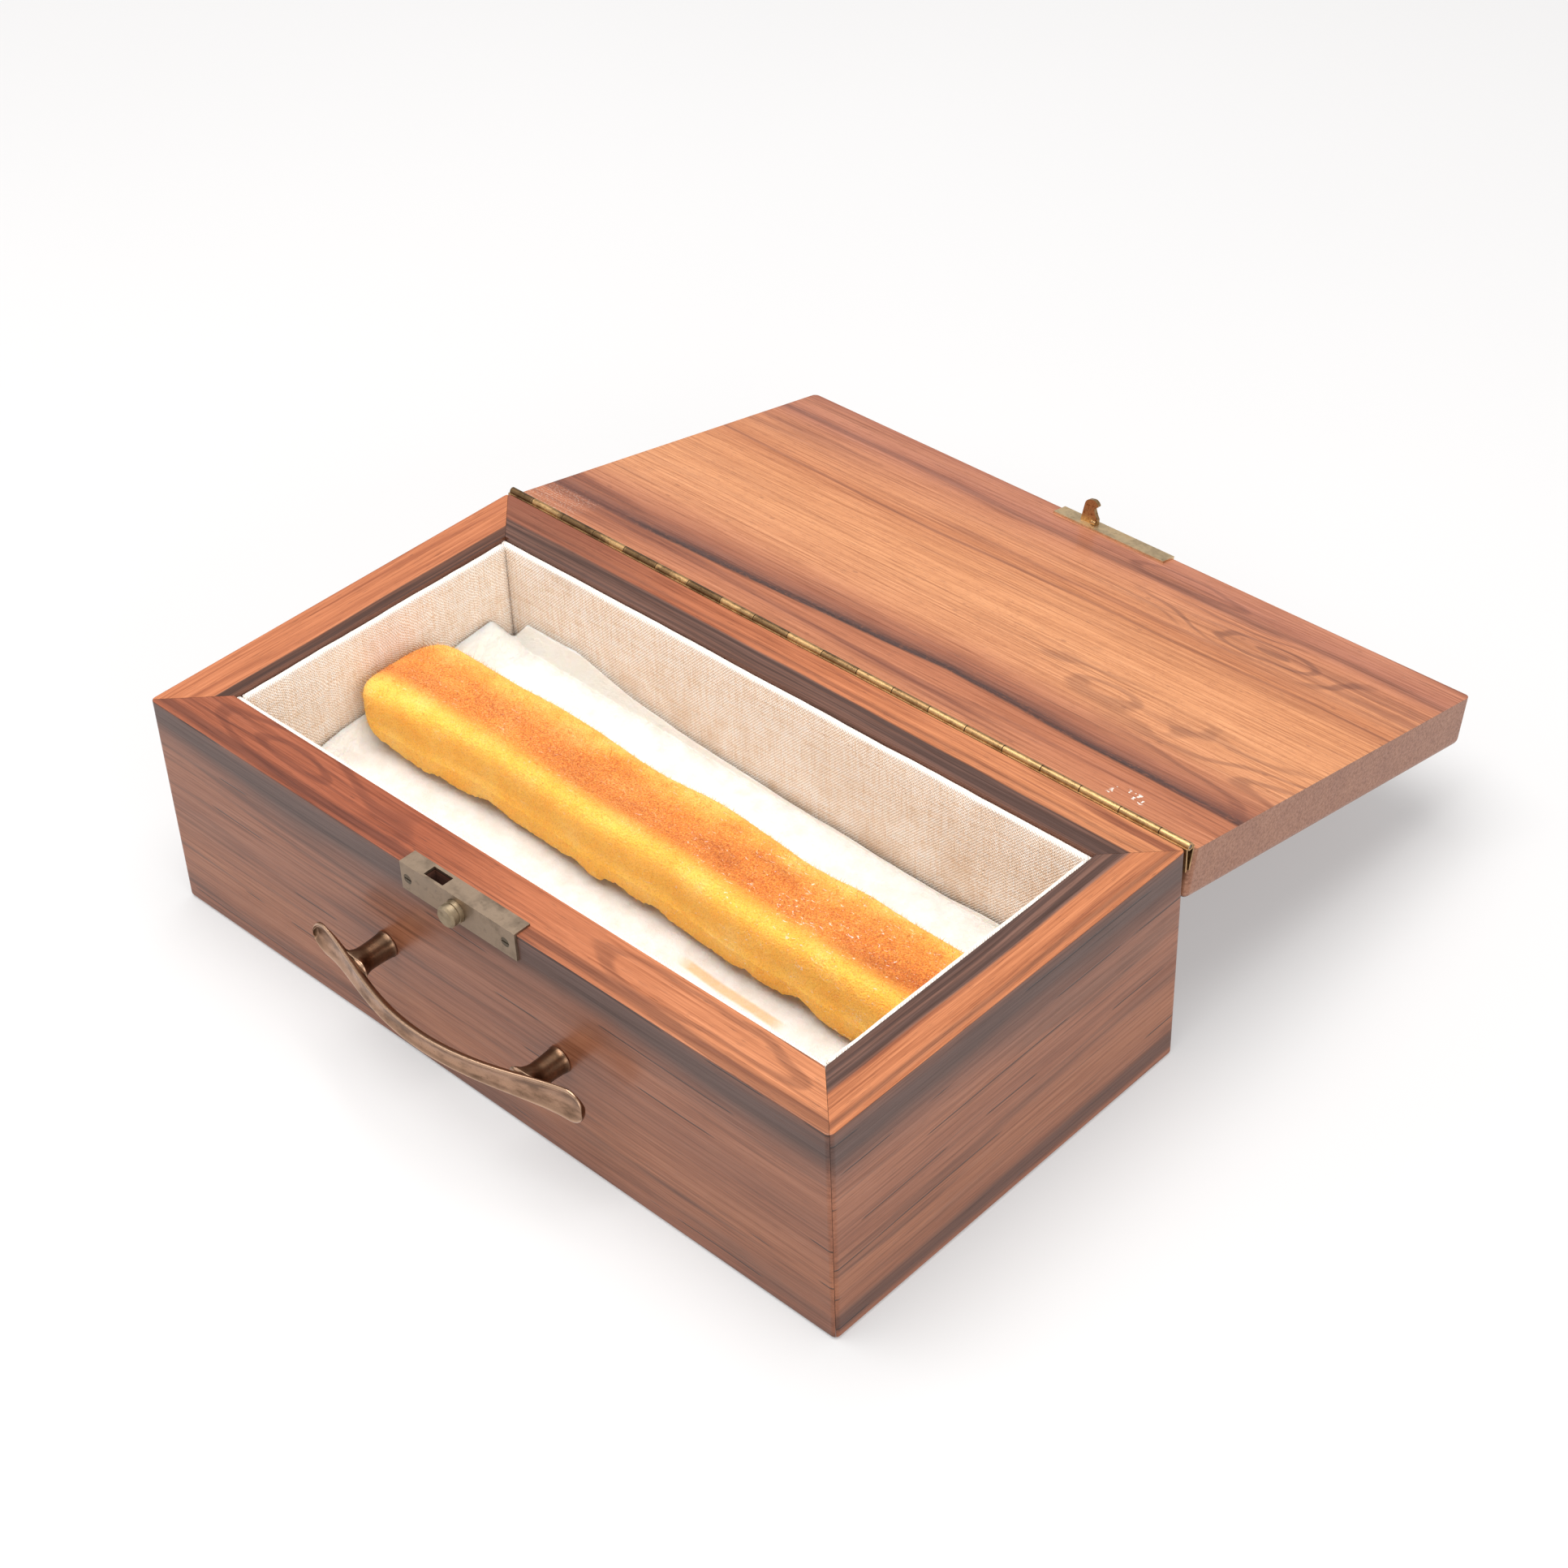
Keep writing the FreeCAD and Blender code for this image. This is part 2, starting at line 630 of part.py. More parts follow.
def handle_plan():
    """Plan of the bow: a wide arc between the posts, and an arc the other way out to each leaf's tip."""
    reach, radius, thick = size["bow_reach"], size["bow_radius"], size["bow_thick"]
    join, flat = size["bow_join"], size["leaf_flat"]
    tip = size["leaf_centre"] + size["leaf_half_width"] + 1.0
    centre_out = reach - radius
    join_out = centre_out + math.sqrt(radius ** 2 - join ** 2)
    leaf_radius = (flat - join) * radius / join
    leaf_out = join_out + math.sqrt(leaf_radius ** 2 - (flat - join) ** 2)

    def bow(x, offset):
        return centre_out + math.sqrt((radius - offset) ** 2 - x ** 2)

    def leaf(x, offset):
        return leaf_out - math.sqrt((leaf_radius + offset) ** 2 - (x - flat) ** 2)

    inner_join = join * (radius - thick) / radius
    curves = []
    for offset, edge in ((0.0, join), (thick, inner_join)):
        middle = (edge + tip) / 2
        curves.append([arc((-edge, front_face - bow(edge, offset)), (0, front_face - bow(0, offset)),
                           (edge, front_face - bow(edge, offset)))])
        for sign in (-1, 1):
            curves[-1].append(arc((sign * edge, front_face - leaf(edge, offset)),
                                  (sign * middle, front_face - leaf(middle, offset)),
                                  (sign * tip, front_face - leaf(tip, offset))))
    ends = [Part.LineSegment(FreeCAD.Vector(sign * tip, front_face - leaf(tip, 0.0), 0),
                             FreeCAD.Vector(sign * tip, front_face - leaf(tip, thick), 0)) for sign in (-1, 1)]
    return curves[0] + curves[1] + ends


def handle_elevation():
    """Front view of the bow: narrow in the middle, widening to the rounded leaves."""
    waist, wide, centre = size["bow_half_width"], size["leaf_half_width"], size["leaf_centre"]
    axis = size["handle_axis"]
    curves = [arc((-centre, axis + sign * wide), (0, axis + sign * waist), (centre, axis + sign * wide))
              for sign in (-1, 1)]
    curves += [arc((sign * centre, axis - wide), (sign * (centre + wide), axis), (sign * centre, axis + wide))
               for sign in (-1, 1)]
    return curves


def make_handle():
    plan = profile("handle_plan", handle_plan(), "xy", "2 * leaf_half_width + 2", 0, 0,
                   "handle_axis - leaf_half_width - 1")
    elevation = profile("handle_elevation", handle_elevation(), "xz", 30.0, 0, front_face - 30.0, 0)
    bow = common("handle_bow", plan, elevation)
    posts, bores = [], []
    for tag, sign in (("left", "-"), ("right", "")):
        across = sign + "post_spacing / 2"
        posts.append(cone("post_" + tag, "post_root_radius", "post_tip_radius", "post_length", across,
                          "-case_depth / 2", "handle_axis", "-y"))
        bores.append(rod("post_bore_" + tag, "handle_screw_radius + 0.1", "handle_screw_depth + 1.5", across,
                         "-case_depth / 2 + 0.5", "handle_axis", "-y"))
    finish(cut("handle_casting", joined("handle_blank", [bow] + posts), bores), "handle")


def make_handle_screws():
    """Pan-headed screws from inside the front wall into the posts."""
    inside = front_face + size["wall_thick"]
    screws = []
    for number, sign in enumerate((-1, 1)):
        x = sign * size["post_spacing"] / 2
        head = rod(f"bolt_head_{number}", "handle_head_radius", "handle_head_height", x,
                   inside - size["handle_head_height"] - 0.2, "handle_axis", "y")
        slot = box(f"bolt_slot_{number}", 9.0, 1.0, 0.9, x - 4.5, inside - 1.0, "handle_axis - 0.45")
        shank = rod(f"bolt_shank_{number}", "handle_screw_radius", "wall_thick - 2.4 + handle_screw_depth", x,
                    inside - size["handle_head_height"] - 0.2, "handle_axis", "-y")
        screws.append(joined(f"bolt_{number}", [cut(f"bolt_slotted_{number}", head, [slot]), shank]))
    group_of("handle_screw_pair", screws, "handle_screws")


make_handle()
make_handle_screws()


# ---- hinge ---------------------------------------------------------------------------------------------------------

def knuckle_spans():
    """Start and end of each knuckle: whole ones at the pitch, and one shortened at each end."""
    count, pitch = int(size["knuckle_count"]), size["knuckle_pitch"]
    inner = (count - 2) * pitch / 2
    edges = [-size["case_length"] / 2] + [-inner + number * pitch for number in range(count - 1)]
    edges.append(size["case_length"] / 2)
    return list(zip(edges, edges[1:]))


def make_leaf(side, parity, screw_height, leaf_low, web_low):
    """One leaf: a long plate with every second knuckle and the webs that join them, and countersunk holes."""
    pin_y, pin_z = "case_depth / 2 + pin_offset", "case_height"
    parts = [box(f"leaf_{side}_plate", "case_length", "leaf_thick", "leaf_height", "-case_length / 2",
                 "case_depth / 2", leaf_low)]
    play = size["knuckle_play"] / 2
    for number, (start, end) in enumerate(knuckle_spans()):
        if number % 2 != parity:
            continue
        run = end - start - 2 * play
        parts.append(rod(f"knuckle_{side}_{number}", "barrel_radius", run, start + play, pin_y, pin_z, "x"))
        parts.append(box(f"web_{side}_{number}", run, "web_width", "web_height", start + play,
                         "case_depth / 2", web_low))
    holes = [rod(f"leaf_{side}_bore", "pin_radius + pin_play", "case_length + 2", "-case_length / 2 - 1",
                 pin_y, pin_z, "x")]
    for number, x in enumerate(hinge_screw_places()):
        holes.append(cone(f"leaf_{side}_sink_{number}", 1.75, 1.15, "leaf_thick + 0.02", x,
                          "case_depth / 2 + leaf_thick + 0.01", screw_height, "-y"))
    return cut(f"leaf_{side}", joined(f"leaf_{side}_blank", parts), holes)


def hinge_screws(side, height):
    face = back_face + size["leaf_thick"]
    return [screw(f"hinge_screw_{side}_{number}", 1.65, 0.6, 0.9, 8.0, 0.4, x, face - 0.05, height, "-y")
            for number, x in enumerate(hinge_screw_places())]


def make_hinge():
    shut_face = size["case_height"] + size["lid_gap"]
    case_leaf = make_leaf("case", 0, "case_height - hinge_screw_drop", "case_height - leaf_height",
                          "case_height - web_height - web_play")
    finish(case_leaf, "hinge_leaf_case")
    lid_leaf = make_leaf("lid", 1, "case_height + lid_gap + hinge_screw_drop", "case_height + web_play",
                         "case_height + web_play")
    finish_on_lid(lid_leaf, "hinge_leaf_lid")
    pin = rod("pin", "pin_radius", "case_length - 0.4", "-case_length / 2 + 0.2",
              "case_depth / 2 + pin_offset", "case_height", "x")
    finish(pin, "hinge_pin")
    drop = size["hinge_screw_drop"]
    group_of("screws_case", hinge_screws("case", size["case_height"] - drop), "hinge_screws_case")
    group_of("screws_lid", hinge_screws("lid", shut_face + drop), "hinge_screws_lid", on_lid=True)


make_hinge()


# ---- lid, strike and hook ------------------------------------------------------------------------------------------

def make_lid_board():
    """One solid board, its upright corners and its outer face's edges rounded, drilled for the screws."""
    board = box("board", "case_length", "case_depth", "lid_thick", "-case_length / 2", "-case_depth / 2",
                "case_height + lid_gap")
    half_x, half_y = size["case_length"] / 2, size["case_depth"] / 2
    top = size["case_height"] + size["lid_gap"] + size["lid_thick"]
    upright = rounded("board_upright", board, "corner_round", lambda e: vertical_at_corner(e, half_x, half_y))
    crowned = rounded("board_crowned", upright, "lid_round", lambda e: level_at(e, top, half_x, half_y))
    height = size["case_height"] + size["lid_gap"] + size["hinge_screw_drop"]
    shift = size["lid_shift"]
    pilots = [rod(f"lid_pilot_{number}", 0.95, 9.0, x - shift, "case_depth / 2 - 9", height, "y")
              for number, x in enumerate(hinge_screw_places())]
    pilots += [rod(f"strike_pilot_{number}", 0.95, 9.0, x - shift, "-case_depth / 2", strike_screw_height(), "y")
               for number, x in enumerate(strike_screw_places())]
    lid = cut("board_drilled", crowned, pilots)
    lid.Placement.Base.x = shift
    finish_on_lid(lid, "lid_board")


def strike_screw_places():
    return (-size["strike_screw_half"], size["strike_screw_half"])


def strike_screw_height():
    return size["case_height"] + size["lid_gap"] + 4.2


def make_strike_plate():
    """Angle plate on the lid's front edge and the inner face beside it."""
    wide, front = "2 * strike_half", "-case_depth / 2"
    under = "case_height + lid_gap - plate_thick"
    flange = box("strike_flange", wide, "strike_reach + plate_thick", "plate_thick", "-strike_half",
                 front + " - plate_thick", under)
    face = box("strike_face", wide, "plate_thick", "strike_rise + plate_thick", "-strike_half",
               front + " - plate_thick", under)
    sinks = [cone(f"strike_sink_{number}", 1.75, 1.15, "plate_thick + 0.02", x,
                  front + " - plate_thick - 0.01", strike_screw_height(), "y")
             for number, x in enumerate(strike_screw_places())]
    finish_on_lid(cut("strike", joined("strike_angle", [flange, face]), sinks), "strike_plate")
    face_y = front_face - size["plate_thick"]
    screws = [screw(f"strike_screw_{number}", 1.65, 0.7, 0.9, 8.0, 0.45, x, face_y + 0.05,
                    strike_screw_height(), "y") for number, x in enumerate(strike_screw_places())]
    group_of("strike_screw_pair", screws, "strike_screws", on_lid=True)


def make_hook():
    """Flat stamped hook that hangs from the strike: rounded head, a nose to the right and a notch behind it."""
    face = size["case_height"] + size["lid_gap"]
    root = face - size["plate_thick"]
    end = face - size["hook_length"]
    notch = face - 6.3
    outline = [
        Part.LineSegment(FreeCAD.Vector(-14.4, root, 0), FreeCAD.Vector(-13.7, end + 2.4, 0)),
        arc((-13.7, end + 2.4), (-12.8, end + 0.6), (-11.2, end)),
        arc((-11.2, end), (-8.8, end + 0.3), (-7.9, end + 1.5)),
        Part.LineSegment(FreeCAD.Vector(-7.9, end + 1.5, 0), FreeCAD.Vector(-9.4, notch, 0)),
        arc((-9.4, notch), (-8.6, notch + 1.6), (-7.4, notch + 3.3)),
        Part.LineSegment(FreeCAD.Vector(-7.4, notch + 3.3, 0), FreeCAD.Vector(-7.4, root, 0)),
        Part.LineSegment(FreeCAD.Vector(-7.4, root, 0), FreeCAD.Vector(-14.4, root, 0)),
    ]
    blade = profile("hook_blade", outline, "xz", "hook_thick", 0, "-hook_front", 0)
    foot = rod("hook_foot", 0.9, 1.8, -9.4, "-hook_front + hook_thick + 0.1", root - 0.9, "x")
    finish_on_lid(joined("hook", [blade, foot]), "lid_hook")


make_lid_board()
make_strike_plate()
make_hook()


# ---- checks and files ----------------------------------------------------------------------------------------------

doc.recompute()
failed = [item.Label for item in doc.Objects if {"Invalid", "Error"} & set(item.State)]
if failed:
    raise RuntimeError(f"these objects did not compute: {failed}")
for item in finished:
    if item.Shape.isNull() or not item.Shape.isValid():
        raise RuntimeError(f"{item.Label} has no valid shape")

os.makedirs("parts", exist_ok=True)
for item in finished:
    item.Shape.exportStep(os.path.join("parts", item.Label + ".step"))
    box_of = item.Shape.BoundBox
    print(f"{item.Label:18s} {len(item.Shape.Solids):3d} solids {item.Shape.Volume:12.1f} mm3  "
          f"x {box_of.XMin:7.2f} {box_of.XMax:7.2f}  y {box_of.YMin:7.2f} {box_of.YMax:7.2f}  "
          f"z {box_of.ZMin:7.2f} {box_of.ZMax:7.2f}")
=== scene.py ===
"""Looks of the hinged rosewood needle case: wood, linen cards, cotton batting, foam strip and tarnished metal."""
import math

import bmesh
import bpy
import numpy as np
from mathutils import Matrix, Vector, noise


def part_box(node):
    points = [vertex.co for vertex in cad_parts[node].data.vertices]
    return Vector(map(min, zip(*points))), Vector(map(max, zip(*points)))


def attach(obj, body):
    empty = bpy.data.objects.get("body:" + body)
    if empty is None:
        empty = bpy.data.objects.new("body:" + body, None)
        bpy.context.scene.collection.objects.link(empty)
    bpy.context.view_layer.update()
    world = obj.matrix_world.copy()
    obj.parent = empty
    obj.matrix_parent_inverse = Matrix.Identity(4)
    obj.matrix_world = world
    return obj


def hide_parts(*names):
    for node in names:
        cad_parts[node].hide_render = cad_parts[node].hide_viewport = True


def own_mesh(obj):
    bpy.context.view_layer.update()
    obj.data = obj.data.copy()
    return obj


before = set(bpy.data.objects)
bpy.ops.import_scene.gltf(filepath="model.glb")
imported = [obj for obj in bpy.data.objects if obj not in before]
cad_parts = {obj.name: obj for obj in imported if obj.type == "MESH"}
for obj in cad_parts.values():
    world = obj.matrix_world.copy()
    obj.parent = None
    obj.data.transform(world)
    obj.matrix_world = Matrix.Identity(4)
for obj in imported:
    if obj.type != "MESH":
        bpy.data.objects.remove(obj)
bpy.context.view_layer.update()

# Lengths are in millimetres in the part's frame.
MM = 0.001
RIM_HEIGHT = 81.3
END_X = 145.0
FRONT, BACK = -77.0, 77.0
LID_DEPTH = 154.0
OPEN_ANGLE = math.radians(191.6)
PIN = Vector((0.0, 79.0, RIM_HEIGHT))
KNUCKLE_PITCH, BARREL_RADIUS = 14.9, 1.3
SHARP_ANGLE = math.radians(32.0)
CASE_BODY = "case"


# ---- node trees ----------------------------------------------------------------------------------------------------

def tone(red, green, blue, gain=0.86):
    """A colour as the eye reads it, 0 to 255, as the albedo a shader needs."""
    return tuple(gain * ((c / 255) / 12.92 if c < 11 else (((c / 255) + 0.055) / 1.055) ** 2.4)
                 for c in (red, green, blue)) + (1.0,)


class Nodes:
    """One material's node tree. Places are in millimetres in the part's frame."""

    def __init__(self, name, roughness=0.5, **fixed):
        self.material = bpy.data.materials.new(name)
        self.material.use_nodes = True
        self.tree = self.material.node_tree
        self.tree.nodes.clear()
        output = self.tree.nodes.new("ShaderNodeOutputMaterial")
        self.shader = self.tree.nodes.new("ShaderNodeBsdfPrincipled")
        self.tree.links.new(self.shader.outputs[0], output.inputs["Surface"])
        self.shader.inputs["Roughness"].default_value = roughness
        for key, value in fixed.items():
            self.shader.inputs[key.replace("_", " ")].default_value = value

    def add(self, kind, puts=(), **settings):
        node = self.tree.nodes.new(kind)
        for key, value in settings.items():
            setattr(node, key, value)
        for socket, value in dict(puts).items():
            self.put(node.inputs[socket], value)
        return node

    def put(self, socket, value):
        if isinstance(value, bpy.types.NodeSocket):
            self.tree.links.new(value, socket)
        else:
            socket.default_value = value

    def set(self, socket, value):
        self.put(self.shader.inputs[socket], value)

    def where(self):
        """The point's place in millimetres; it goes with the piece when the piece moves."""
        raw = self.add("ShaderNodeTexCoord").outputs["Object"]
        return self.scaled(raw, (1000, 1000, 1000))

    def where_shut(self):
        """The point's place with the lid shut."""
        turn = Matrix.Rotation(OPEN_ANGLE, 3, "X")
        shift = PIN - turn @ PIN
        return self.add("ShaderNodeMapping", {0: self.where(), 1: tuple(shift), 2: (OPEN_ANGLE, 0, 0)}).outputs[0]

    def facing(self, shut=False):
        """The surface's outward direction in the part's frame, or with the lid shut."""
        raw = self.add("ShaderNodeTexCoord").outputs["Normal"]
        if not shut:
            return self.split(raw)
        turned = self.add("ShaderNodeMapping", {0: raw, 2: (OPEN_ANGLE, 0, 0)}, vector_type="NORMAL").outputs[0]
        return self.split(turned)

    def scaled(self, vector, factors, shift=(0, 0, 0)):
        return self.add("ShaderNodeMapping", {0: vector, 1: shift, 3: factors}).outputs[0]

    def split(self, vector):
        node = self.add("ShaderNodeSeparateXYZ", {0: vector})
        return node.outputs[0], node.outputs[1], node.outputs[2]

    def join(self, x, y, z):
        return self.add("ShaderNodeCombineXYZ", {0: x, 1: y, 2: z}).outputs[0]

    def maths(self, operation, a, b=0.0, c=0.0):
        return self.add("ShaderNodeMath", {0: a, 1: b, 2: c}, operation=operation).outputs[0]

    def noise(self, vector, scale=1.0, detail=4.0, rough=0.5, warp=0.0):
        puts = {"Vector": vector, "Scale": scale, "Detail": detail, "Roughness": rough, "Distortion": warp}
        return self.add("ShaderNodeTexNoise", puts).outputs[0]

    def cells(self, vector, scale=1.0):
        return self.add("ShaderNodeTexVoronoi", {"Vector": vector, "Scale": scale}).outputs[0]

    def step(self, value, start, end, low=0.0, high=1.0):
        """Rises smoothly from low at start to high at end."""
        puts = {0: value, 1: start, 2: end, 3: low, 4: high}
        return self.add("ShaderNodeMapRange", puts, interpolation_type="SMOOTHSTEP").outputs[0]

    def band(self, value, centre, half, soft):
        """One inside centre +- half, and down to nothing over soft."""
        away = self.maths("ABSOLUTE", self.maths("SUBTRACT", value, centre))
        return self.step(away, half + soft, half)

    def mix(self, share, a, b, mode="MIX"):
        node = self.add("ShaderNodeMix", data_type="RGBA", blend_type=mode)
        self.put(node.inputs[0], share)
        self.put(node.inputs[6], a)
        self.put(node.inputs[7], b)
        return node.outputs[2]

    def stained(self, colour, mask, share, shade):
        """The colour with shade laid over it, by share where the mask is one."""
        return self.mix(self.maths("MULTIPLY", mask, share), colour, shade)

    def ramp(self, value, stops):
        node = self.add("ShaderNodeValToRGB", {0: value})
        band = node.color_ramp
        while len(band.elements) > 1:
            band.elements.remove(band.elements[-1])
        for number, (at, colour) in enumerate(stops):
            element = band.elements[0] if number == 0 else band.elements.new(at)
            element.position = at
            element.color = colour
        return node.outputs[0]

    def bump(self, height, strength, depth_mm):
        puts = {"Strength": strength, "Distance": depth_mm * MM, "Height": height}
        self.set("Normal", self.add("ShaderNodeBump", puts).outputs[0])


# ---- wood ----------------------------------------------------------------------------------------------------------

class Wood:
    """The parts every rosewood surface shares: waves, stripes, pores, cracks and swirls along the grain."""

    def __init__(self, name, grain, seed, shut=False):
        self.g = Nodes(name, roughness=0.45, Specular_IOR_Level=0.2, Coat_Weight=0.3, Coat_Roughness=0.24)
        self.x, self.y, self.z = self.g.split(self.g.where_shut() if shut else self.g.where())
        self.face = self.g.facing(shut)
        self.seed = seed * 3.7
        self.along = self.x if grain == "x" else self.y
        self.cross = self.y if grain == "x" else self.x
        along_grain = self.g.join(self.along, self.cross, self.z)
        self.vector = self.g.scaled(along_grain, (1, 1, 1), (seed * 137.0, seed * 61.0, 0))
        self.slow = self.noise((0.007, 0.020, 0.020), detail=1.0)
        self.wave = self.noise((0.016, 0.045, 0.045), detail=1.5)
        self.tint = self.noise((0.012, 0.11, 0.11), detail=4.0, rough=0.6)
        self.fine = self.noise((0.022, 1.1, 1.1), detail=6.0, rough=0.7)
        self.thread = self.noise((0.05, 4.5, 4.5), detail=3.0, rough=0.6)
        self.pore = self.noise((0.16, 5.5, 5.5), detail=1.0)

    def noise(self, factors, detail=4.0, rough=0.5):
        return self.g.noise(self.g.scaled(self.vector, factors), 1.0, detail, rough)

    def swayed(self, value, slow=20.0, quick=5.0):
        """A distance that wanders by up to the given millimetres along the grain."""
        g = self.g
        moved = g.maths("MULTIPLY_ADD", g.maths("SUBTRACT", self.slow, 0.5), slow, value)
        return g.maths("MULTIPLY_ADD", g.maths("SUBTRACT", self.wave, 0.5), quick, moved)

    def lines(self, value, pitch, low=0.50):
        """Growth streaks across a distance, uneven in width and depth, running along the sway of the grain."""
        g = self.g
        across = g.maths("DIVIDE", self.swayed(value, 9.0, 3.0), pitch)
        streak = g.noise(g.join(g.maths("MULTIPLY", self.along, 0.006), across, self.seed), 1.0, 4.0, 0.6)
        return g.step(streak, low, low + 0.2)

    def swirl(self, centre, radii, rings, drift=1.0):
        """Rings round a spot where the grain turns, as a share from 0 to 1."""
        g = self.g
        u = g.maths("DIVIDE", g.maths("SUBTRACT", self.along, centre[0]), radii[0])
        v = g.maths("DIVIDE", g.maths("SUBTRACT", centre[2], centre[1]), radii[1])
        away = g.add("ShaderNodeVectorMath", {0: g.join(u, v, 0.0)}, operation="LENGTH").outputs["Value"]
        bent = g.maths("MULTIPLY_ADD", self.wave, drift, away)
        turn = g.maths("SINE", g.maths("MULTIPLY", bent, 2 * math.pi * rings))
        return g.maths("MULTIPLY", g.step(turn, 0.2, 0.95), g.step(away, 1.1, 0.55))

    def cracks(self, value, pitch):
        """Long hairline checks, broken along the grain."""
        g = self.g
        bent = g.maths("MULTIPLY_ADD", self.wave, 3.0, value)
        place = g.maths("FRACT", g.maths("DIVIDE", bent, pitch))
        line = g.step(g.maths("ABSOLUTE", g.maths("SUBTRACT", place, 0.5)), 0.42 / pitch, 0.12 / pitch)
        broken = g.step(self.noise((0.028, 0.045, 0.045), detail=1.0), 0.50, 0.55)
        upright = g.step(g.maths("ABSOLUTE", self.face[2]), 0.8, 0.5)
        return g.maths("MULTIPLY", g.maths("MULTIPLY", line, broken), upright)

    def topped(self, side, top):
        """One colour on upright faces and another on faces that look up."""
        return self.g.mix(self.g.step(self.face[2], 0.5, 0.8), side, top)

    def done(self, colour, crack=None):
        """Adds the fine grain, pores and wear to a laid-out colour and finishes the shader."""
        g = self.g
        grain = g.ramp(self.fine, [(0.32, tone(196, 178, 164, 1)), (0.52, tone(240, 234, 228, 1)),
                                   (0.66, tone(255, 255, 255, 1))])
        colour = g.mix(1.0, colour, grain, "MULTIPLY")
        threads = g.ramp(self.thread, [(0.35, tone(208, 192, 180, 1)), (0.65, tone(255, 255, 255, 1))])
        colour = g.mix(0.5, colour, threads, "MULTIPLY")
        pores = g.step(self.pore, 0.665, 0.72)
        colour = g.stained(colour, pores, 0.55, tone(52, 30, 24))
        height = g.maths("MULTIPLY_ADD", pores, -0.8, g.maths("MULTIPLY", self.fine, 0.6))
        if crack is not None:
            colour = g.stained(colour, crack, 0.75, tone(30, 20, 18))
            height = g.maths("MULTIPLY_ADD", crack, -3.0, height)
        scuff = g.noise(g.scaled(g.join(self.x, self.y, self.z), (0.9, 0.9, 0.9)), 1.0, 6.0, 0.75)
        colour = g.mix(g.step(scuff, 0.70, 0.78, 0.0, 0.14), colour, tone(226, 186, 160))
        g.set("Base Color", colour)
        g.set("Roughness", g.step(self.fine, 0.2, 0.8, 0.46, 0.32))
        g.bump(height, 0.25, 0.1)
        return g.material


def face_brown(w, height):
    """Grey-brown upright face with a dusky band under the rim."""
    g = w.g
    level = g.maths("DIVIDE", w.swayed(height, 16.0, 7.0), RIM_HEIGHT)
    colour = g.ramp(level, [
        (0.0, tone(104, 64, 46)), (0.05, tone(156, 98, 70)), (0.28, tone(180, 118, 84)), (0.5, tone(164, 106, 78)),
        (0.68, tone(178, 118, 88)), (0.80, tone(148, 100, 80)), (0.88, tone(98, 72, 64)), (0.95, tone(104, 76, 68)),
        (1.0, tone(132, 88, 70))])
    colour = g.stained(colour, w.lines(height, 9.0), 0.5, tone(112, 70, 52))
    colour = g.stained(colour, w.lines(g.maths("ADD", height, 31.0), 2.2, 0.54), 0.55, tone(92, 58, 46))
    blotch = g.step(w.noise((0.010, 0.05, 0.05), detail=3.0), 0.56, 0.72)
    return g.stained(colour, blotch, 0.4, tone(108, 78, 66))


def rim_streaks(w, colour, across, dark):
    """Broad and narrow growth streaks on a rim."""
    g = w.g
    colour = g.stained(colour, w.lines(across, 4.0), 0.75, dark)
    return g.stained(colour, w.lines(g.maths("ADD", across, 40.0), 1.5, 0.54), 0.6, dark)


def front_wall_wood():
    w = Wood("rosewood_front", "x", 1)
    g = w.g
    depth = w.swayed(w.y, 7.0, 3.0)
    rim = g.ramp(g.step(w.x, -END_X, END_X), [
        (0.0, tone(172, 102, 74)), (0.35, tone(166, 94, 66)), (0.6, tone(194, 120, 84)), (1.0, tone(216, 146, 104))])
    rim = rim_streaks(w, rim, w.y, tone(84, 42, 36))
    rim = g.stained(rim, w.swirl((-84.0, -66.0, w.y), (74.0, 12.0), 2.0, 2.0), 0.4, tone(92, 46, 38))
    rim = g.stained(rim, g.band(depth, -74.5, 0.7, 2.4), 0.6, tone(84, 48, 42))
    rim = g.stained(rim, w.swirl((92.0, -66.0, w.y), (66.0, 11.0), 2.0, 2.0), 0.45, tone(108, 60, 46))
    side = face_brown(w, w.z)
    colour = w.topped(side, rim)
    return w.done(colour, w.cracks(w.z, 15.0))


def back_wall_wood():
    w = Wood("rosewood_back", "x", 2)
    g = w.g
    edge = w.swayed(w.y, 6.0, 3.0)
    rim = g.ramp(g.step(w.x, -END_X, END_X), [
        (0.0, tone(146, 92, 72)), (0.25, tone(184, 112, 78)), (0.6, tone(204, 130, 90)), (1.0, tone(218, 148, 104))])
    rim = rim_streaks(w, rim, w.y, tone(132, 72, 54))
    dark = g.step(edge, 66.5, 65.4)
    black = g.stained(tone(86, 64, 58), w.lines(w.y, 1.8, 0.44), 0.8, tone(126, 92, 80))
    rim = g.mix(dark, rim, black)
    rim = g.stained(rim, g.band(edge, 68.6, 0.2, 1.2), 0.4, tone(104, 62, 50))
    colour = w.topped(face_brown(w, w.z), rim)
    return w.done(colour, w.cracks(w.z, 17.0))


